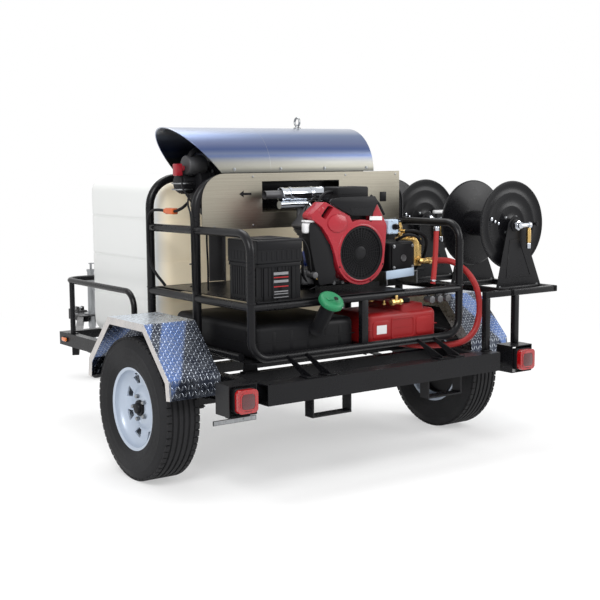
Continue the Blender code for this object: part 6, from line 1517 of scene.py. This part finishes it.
def fit_deck_pieces():
    """Drain valve, steel cocks, shelf, riser hose and hose clamps round the pump."""
    valve = joined(drum(0.013, 0.066, (0.196, -0.478, 0.806), "X", 24, 0.001),
                   drum(0.017, 0.018, (0.17, -0.478, 0.806), "X", 6, 0.001),
                   drum(0.017, 0.018, (0.22, -0.478, 0.806), "X", 6, 0.001),
                   drum(0.008, 0.04, (0.196, -0.48, 0.82), "Z", 16, 0.001))
    finish(valve, "drain_valve", "brass")
    cocks = []
    for x in (0.44, 0.495, 0.55):
        cocks.append(drum(0.0165, 0.046, (x, -0.45, 0.798), "Y", 28, 0.001))
        cocks.append(drum(0.0205, 0.012, (x, -0.472, 0.798), "Y", 6, 0.0015))
        cocks.append(cube((x - 0.006, -0.452, 0.798), (x + 0.006, -0.44, 0.836), 0.001, 1))
    finish(cocks, "steel_cocks", "grey_casting")
    finish(cube((0.262, -0.324, 0.905), (0.45, -0.319, 0.948), 0.0015, 2, (0.0, math.radians(-3.0), 0.0)),
           "pump_shelf", "pale_plate")
    riser = cord([(0.512, -0.4, 0.868), (0.522, -0.398, 0.93), (0.534, -0.394, 1.02), (0.542, -0.39, 1.1),
                  (0.546, -0.388, 1.15)], 26, 0.0135, 18)
    finish(riser, "riser_hose", "red_hose")
    clamps = [drum(0.015, 0.01, (0.5145, -0.3995, 0.885), "Z", 24, 0.001),
              drum(0.016, 0.022, (0.546, -0.388, 1.152), "Z", 24, 0.002),
              drum(0.0192, 0.011, (0.606, -0.296, 0.978), "X", 28, 0.001),
              drum(0.0192, 0.011, (0.43, 0.515, 0.5435), "Y", 28, 0.001)]
    finish(clamps, "hose_clamps", "chrome")


def fit_suction_hose():
    """The red suction hose, smooth along its whole route."""
    start = Vector((0.5866, -0.296, 0.978))
    x, y, under = 0.795, -0.4503, 0.5435
    high = SKID_SHELF - 0.978
    low = SKID_BASE - 0.02
    knots = [start + Vector((0.024, 0.0, 0.0)), (SKID_X + 0.045, -0.34, 0.97),
             (x - 0.055, -0.4, 0.978 + 0.38 * high), (x - 0.017, y + 0.012, 0.978 + 0.93 * high),
             (x, y - 0.002, low + 0.183), (x - 0.005, y - 0.005, low + 0.103),
             (x - 0.03, y - 0.002, low + 0.033), (x - 0.08, y + 0.01, under + 0.0185),
             (SKID_X, y + 0.025, under), (SKID_X - 0.09, y + 0.05, under), (0.47, y + 0.105, under),
             (0.432, y + 0.22, under), (0.43, -0.06, under), (0.43, 0.14, under), (0.43, 0.34, under),
             (0.43, 0.4897, under)]
    route = [start] + flowing(knots, 110) + [Vector((0.43, 0.5297, under))]
    finish(tube(route, 0.0162, sides=24), "suction_hose_looks", "red_hose", "suction_hose", angle=50.0)


# ------------------------------------------------------------------ reels
REEL_X, REEL_Z = 1.0, 1.157
REELS = {"rear": -0.333, "front": 0.353}


def reel_disc(outward):
    """One pressed reel disc about Z: rolled rim, two ring beads and a dished centre."""
    s = outward
    face = [(0.0, 0.145), (0.034, 0.145), (0.04, 0.142), (0.09, 0.142), (0.096, 0.145), (0.104, 0.145),
            (0.11, 0.1425), (0.16, 0.1425), (0.166, 0.1452), (0.176, 0.1452), (0.182, 0.1425), (0.219, 0.143),
            (0.226, 0.147), (0.23, 0.1505), (0.234, 0.15), (0.235, 0.1475), (0.232, 0.144), (0.225, 0.141),
            (0.0, 0.14)]
    return lathe([(radius, s * height) for radius, height in face], sides=88)


def fit_reels():
    """Two empty hose reels: pressed discs, drum, shaft, crank handle, hub bolts and a lock knob."""
    for word, y in REELS.items():
        drum_part = band(0.016, 0.07, -0.141, 0.141, sides=48)
        shaft = lathe([(0.0, -0.187), (0.015, -0.187), (0.0158, -0.186), (0.0158, 0.186), (0.015, 0.187),
                       (0.0, 0.187)], sides=32)
        made = joined(reel_disc(-1.0), reel_disc(1.0), drum_part, shaft)
        made.rotation_euler = TURN["Y"]
        made.location = (REEL_X, y, REEL_Z)
        body = "reel_" + word
        finish(made, word + "_reel_looks", "black_paint", word + "_reel", body=body, angle=30.0)
        spots = around(REEL_X, y - 0.1425, REEL_Z, 0.055, [math.pi * (0.25 + i / 2) for i in range(4)])
        far = [(x, y + 0.1425, z) for x, _, z in spots]
        finish([bolts(spots, "-Y", 0.013, 0.005), bolts(far, "Y", 0.013, 0.005)], word + "_reel_bolts",
               "zinc_plate", body=body)
        knob = lathe([(0.0, -0.014), (0.0085, -0.0138), (0.012, -0.0105), (0.012, -0.006), (0.007, -0.002),
                      (0.007, 0.004), (0.0, 0.004)], (REEL_X + 0.185, y - 0.149, REEL_Z), "Y", 24)
        finish(knob, word + "_reel_knob", "black_casting", body=body)
        spots = [(-0.15, 0.036, 0.0095), (-0.124, 0.022, 0.0075), (-0.098, 0.012, 0.0075)]
        studs = [drum(size, 0.006, (REEL_X + dx, y - 0.1485, REEL_Z + dz), "Y", 20, 0.0015)
                 for dx, dz, size in spots]
        finish(studs, word + "_reel_studs", "chrome", body=body)
    grip = joined(drum(0.0105, 0.1, (REEL_X + 0.105, REELS["front"] - 0.157, REEL_Z + 0.045), "X", 24, 0.003),
                  drum(0.007, 0.014, (REEL_X + 0.145, REELS["front"] - 0.15, REEL_Z + 0.045), "Y", 16, 0.001))
    finish(grip, "front_reel_grip", "label_white", body="reel_front")


def fit_swivels():
    """Chrome swivel elbows with a hanging brass coupling at the rear end of each reel shaft."""
    for word, y in REELS.items():
        rear = y - 0.145 - 0.028 - 0.0025 - 0.012 - 0.0003
        parts = [lathe([(0.0, 0.0), (0.0165, 0.0), (0.017, -0.003), (0.017, -0.012), (0.0145, -0.014),
                        (0.0145, -0.019), (0.017, -0.021), (0.017, -0.031), (0.014, -0.034), (0.0, -0.034)],
                       (REEL_X, rear, REEL_Z), "Y", 36),
                 drum(0.013, 0.074, (REEL_X + 0.032, rear - 0.022, REEL_Z), "X", 32, 0.0015),
                 drum(0.0175, 0.022, (REEL_X + 0.066, rear - 0.022, REEL_Z), "X", 28, 0.003),
                 drum(0.028, 0.012, (REEL_X, rear - 0.007, REEL_Z), "Y", 6, 0.002)]
        finish(parts, word + "_swivel_looks", "chrome", word + "_swivel")
        x = REEL_X + 0.066
        coupling = [drum(0.014, 0.066, (x, rear - 0.022, REEL_Z - 0.06), "Z", 6, 0.002),
                    drum(0.0105, 0.09, (x, rear - 0.022, REEL_Z - 0.05), "Z", 24, 0.001)]
        finish(drum(0.012, 0.03, (x, rear - 0.022, REEL_Z - 0.11), "Z", 24, 0.003), word + "_swivel_end",
               "chrome")
        finish(coupling, word + "_swivel_coupling", "brass")


def fit_reel_stand():
    """Square-tube stand with carrying plates, bearings, folded feet and bolts."""
    t, top, rear, front, right, left = 0.032, 0.832, -0.626, 0.566, 1.205, 0.865
    low, inner = top - t, 0.69 - t / 2
    bars = [((inner, rear, low), (right, rear + t, top)), ((inner, front - t, low), (right, front, top)),
            ((left - t / 2, rear, low), (left + t / 2, front, top)),
            ((right - t, rear, low), (right, front, top)), ((0.674, -0.626, 0.5253), (0.706, -0.594, low)),
            ((0.884, -0.626, 0.5503), (0.916, -0.594, low)), ((0.674, 0.534, FRAME_TOP), (0.706, 0.566, low))]
    parts = []
    plates, bearings, spots = [], [], []
    for y_reel in REELS.values():
        for side in (-1, 1):
            y = y_reel + side * 0.173
            bars.append(((left, y - t / 2, low), (right - 0.003, y + t / 2, top)))
            outline = [(left, top - 0.006), (right - 0.003, top - 0.006), (REEL_X + 0.05, REEL_Z + 0.01)]
            outline += arc((REEL_X, REEL_Z), 0.048, 20.0, 160.0, 16) + [(REEL_X - 0.05, REEL_Z + 0.01)]
            light = [(left + 0.07, top + 0.045), (right - 0.075, top + 0.045),
                     (REEL_X + 0.042, REEL_Z - 0.075), (REEL_X - 0.042, REEL_Z - 0.075)]
            plates.append(upright([outline, circle((REEL_X, REEL_Z), 0.0168, 32)[::-1]], 0.005, y, 0.001, 1))
            plates.append(upright([light, [(left + 0.085, top + 0.055), (right - 0.09, top + 0.055),
                                           (REEL_X + 0.032, REEL_Z - 0.085),
                                           (REEL_X - 0.032, REEL_Z - 0.085)][::-1]], 0.003, y + side * 0.0035,
                                  0.0008, 1))
            bearings.append(lathe([(0.017, 0.0), (0.033, 0.0), (0.033, side * 0.005), (0.026, side * 0.0095),
                                   (0.017, side * 0.0095), (0.017, 0.0)], (REEL_X, y + side * 0.0025, REEL_Z),
                                  "Y", 40))
            spots += [(REEL_X + dx, y, top) for dx in (-0.11, 0.17)]
    for lo, hi in bars:
        parts.append(cube(lo, hi, 0.0035, 2))
    parts += [cube((0.664, -0.6275, 0.5253), (0.716, -0.596, 0.5303), 0.001, 1),
              cube((0.662, 0.526, FRAME_TOP), (0.718, 0.574, 0.5153), 0.001, 1)]
    finish([*parts, *plates], "reel_stand_looks", "black_paint", "reel_stand")
    finish(bearings, "reel_bearings", "black_casting")
    finish(bolts(spots, "Z", 0.013, 0.006), "reel_stand_bolts", "zinc_plate")


# ------------------------------------------------------------------ lights
def fit_lights():
    """Square tail lamps with their moulded rims and rings, amber side markers and the number plate bar."""
    for side, sign in SIDES.items():
        x, z, face = sign * 0.8625, 0.48, -0.745
        lens = upright([square(x, z, 0.052, 0.02)], 0.04, face + 0.023, 0.006, 4)
        ring_line = upright([square(x, z, 0.04, 0.022), square(x, z, 0.0345, 0.017)[::-1]], 0.004, face
                            + 0.0027, 0.0012, 2)
        finish([lens, ring_line], side + "_tail_lens", "red_lens", side + "_tail_light")
        centre = upright([square(x, z, 0.033, 0.016)], 0.003, face + 0.0022, 0.001, 2)
        finish(centre, side + "_tail_centre", "smoked_lens")
        finish(upright([square(x, z, 0.054, 0.014, 6)], 0.041, face + 0.0495, 0.003, 2), side
               + "_tail_housing", "black_polyethylene")
        spot = cube((x - 0.018, face + 0.0007, z - 0.042), (x + 0.018, face + 0.003, z - 0.04), 0.0004, 1)
        finish(spot, side + "_tail_slit", "black_polyethylene")
        lo, hi = [Vector(corner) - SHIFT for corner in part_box(side + "_marker_light")]
        inner_x, outer_x = (lo.x, hi.x) if sign > 0 else (hi.x, lo.x)
        base_x = sorted((inner_x, inner_x + sign * 0.004))
        finish(cube((base_x[0], lo.y, lo.z), (base_x[1], hi.y, hi.z), 0.0015, 2), side + "_marker_base",
               "black_polyethylene")
        lens_x = sorted((inner_x + sign * 0.002, outer_x))
        bulb = cube((lens_x[0], lo.y + 0.003, lo.z + 0.003), (lens_x[1], hi.y - 0.003, hi.z - 0.003), 0.004,
                    4)
        finish(bulb, side + "_marker_lens", "amber_lens", side + "_marker_light")
    plate_bolts = [(-0.955, -0.708, 0.3985), (-0.865, -0.708, 0.3985)]
    finish([cube((-1.018, -0.7095, 0.3895), (-0.802, -0.7078, 0.4075), 0.0006, 1),
            bolts(plate_bolts, "-Y", 0.01, 0.004)], "number_plate_bar", "zinc_plate")


# ------------------------------------------------------------------ hitch
def fit_hitch():
    """Bolts, crank grip and jack wheel at the front of the trailer."""
    finish(bolts([(x, y, 0.4452) for x in (-0.085, 0.085) for y in (2.5, 2.61)], "Z", 0.016, 0.007),
           "jack_plate_bolts", "zinc_plate")
    finish(bolts([(-0.0402, y, 0.428) for y in (2.725, 2.775)], "-X", 0.016, 0.007), "coupler_bolts",
           "zinc_plate")
    grip = lathe([(0.0, 0.0), (0.0115, 0.0), (0.0135, 0.006), (0.0135, 0.056), (0.011, 0.064), (0.0, 0.065)],
                 (0.125, 2.55, 0.8125), sides=28)
    finish(grip, "jack_grip", "black_polyethylene", body="jack_handle")
    tread = lathe([(0.06, -0.0185), (0.0665, -0.02), (0.076, -0.017), (0.0778, -0.01), (0.0778, 0.01),
                   (0.076, 0.017), (0.0665, 0.02), (0.06, 0.0185), (0.06, -0.0185)], (0.0, 2.51, 0.078), "X",
                  56)
    hub = lathe([(0.007, -0.0195), (0.018, -0.0195), (0.02, -0.01), (0.056, -0.008), (0.0605, -0.018),
                 (0.0605, 0.018), (0.056, 0.008), (0.02, 0.01), (0.018, 0.0195), (0.007, 0.0195),
                 (0.007, -0.0195)], (0.0, 2.51, 0.078), "X", 48)
    finish([tread, hub], "jack_wheel_looks", "black_polyethylene", "jack_wheel", body="jack_caster_wheel")


# ------------------------------------------------------------------ operators
class Builder:
    """What all operators share: they run their steps in order."""

    def execute(self, context):
        for step in self.steps:
            step()
        return {"FINISHED"}


class WASHER_OT_stage(Builder, bpy.types.Operator):
    """Set the camera, soft lamps, white world and pale floor"""
    bl_idname = "washer.stage"
    bl_label = "Stage"
    steps = (add_camera, add_world, add_floor, add_lamps)


class WASHER_OT_finishes(Builder, bpy.types.Operator):
    """Make every finish and give the frame's own nodes theirs"""
    bl_idname = "washer.finishes"
    bl_label = "Finishes"
    steps = (grain_group, tint_group, tread_plate_group, streak_group, make_finishes)


class WASHER_OT_wheels(Builder, bpy.types.Operator):
    """Build both wheels: tyre, rim, hub, nuts and valve"""
    bl_idname = "washer.wheels"
    bl_label = "Wheels"
    steps = (fit_wheels,)


class WASHER_OT_fenders(Builder, bpy.types.Operator):
    """Add the fenders' lips and bolts"""
    bl_idname = "washer.fenders"
    bl_label = "Fenders"
    steps = (fit_fenders,)


class WASHER_OT_tubes(Builder, bpy.types.Operator):
    """Build the skid's cage and the rail round the tank from smooth tube"""
    bl_idname = "washer.tubes"
    bl_label = "Frame tubes"
    steps = (fit_skid, fit_guard_rail)


class WASHER_OT_engine(Builder, bpy.types.Operator):
    """Build the engine's cover, screen, cylinders, air box, silencer, filter and controls"""
    bl_idname = "washer.engine"
    bl_label = "Engine"
    steps = (fit_engine_cover, fit_fan_screen, fit_engine_cylinders, fit_air_box, fit_muffler, fit_oil_filter,
             fit_controls)


class WASHER_OT_battery(Builder, bpy.types.Operator):
    """Build the ribs, label and leads of the battery's box"""
    bl_idname = "washer.battery"
    bl_label = "Battery"
    steps = (fit_battery,)


class WASHER_OT_heater(Builder, bpy.types.Operator):
    """Build the hood, coil housing, burner and heat panel"""
    bl_idname = "washer.heater"
    bl_label = "Heater"
    steps = (fit_hood, fit_shell, fit_burner, fit_panel)


class WASHER_OT_tanks(Builder, bpy.types.Operator):
    """Build the water tank, diesel tank and fuel can with their caps"""
    bl_idname = "washer.tanks"
    bl_label = "Tanks"
    steps = (fit_water_tank, fit_diesel_tank, fit_fuel_can)


class WASHER_OT_pump(Builder, bpy.types.Operator):
    """Build the pump, its valves and its hoses"""
    bl_idname = "washer.pump"
    bl_label = "Pump and hoses"
    steps = (fit_pump, fit_deck_pieces, fit_suction_hose)


class WASHER_OT_reels(Builder, bpy.types.Operator):
    """Build the hose reels, their swivels and their stand"""
    bl_idname = "washer.reels"
    bl_label = "Hose reels"
    steps = (fit_reels, fit_swivels, fit_reel_stand)


class WASHER_OT_lights(Builder, bpy.types.Operator):
    """Build the tail lamps, side markers and number plate bar"""
    bl_idname = "washer.lights"
    bl_label = "Lights"
    steps = (fit_lights,)


class WASHER_OT_hitch(Builder, bpy.types.Operator):
    """Build the bolts, grip and jack wheel at the hitch"""
    bl_idname = "washer.hitch"
    bl_label = "Hitch"
    steps = (fit_hitch,)


BUILDERS = (WASHER_OT_stage, WASHER_OT_finishes, WASHER_OT_wheels, WASHER_OT_fenders, WASHER_OT_tubes,
            WASHER_OT_engine, WASHER_OT_battery, WASHER_OT_heater, WASHER_OT_tanks, WASHER_OT_pump,
            WASHER_OT_reels, WASHER_OT_lights, WASHER_OT_hitch)


class WASHER_PT_panel(bpy.types.Panel):
    """Lists the pieces of the pressure washer with their sizes and colours"""
    bl_idname = "WASHER_PT_panel"
    bl_label = "Pressure washer"
    bl_space_type = "VIEW_3D"
    bl_region_type = "UI"
    bl_category = "Washer"

    def draw(self, context):
        for settings in (context.scene.washer_sizes, context.scene.washer_colours):
            box = self.layout.box()
            for key in settings.__annotations__:
                box.prop(settings, key)
        for builder in BUILDERS:
            self.layout.operator(builder.bl_idname)


CLASSES = (WasherSizes, WasherColours, *BUILDERS, WASHER_PT_panel)


def register():
    for each in CLASSES:
        bpy.utils.register_class(each)
    bpy.types.Scene.washer_sizes = PointerProperty(type=WasherSizes)
    bpy.types.Scene.washer_colours = PointerProperty(type=WasherColours)


def unregister():
    del bpy.types.Scene.washer_colours
    del bpy.types.Scene.washer_sizes
    for each in reversed(CLASSES):
        bpy.utils.unregister_class(each)


def main():
    register()
    for builder in BUILDERS:
        group_name, name = builder.bl_idname.split(".")
        getattr(getattr(bpy.ops, group_name), name)()
    fresh()


if __name__ == "__main__":
    main()
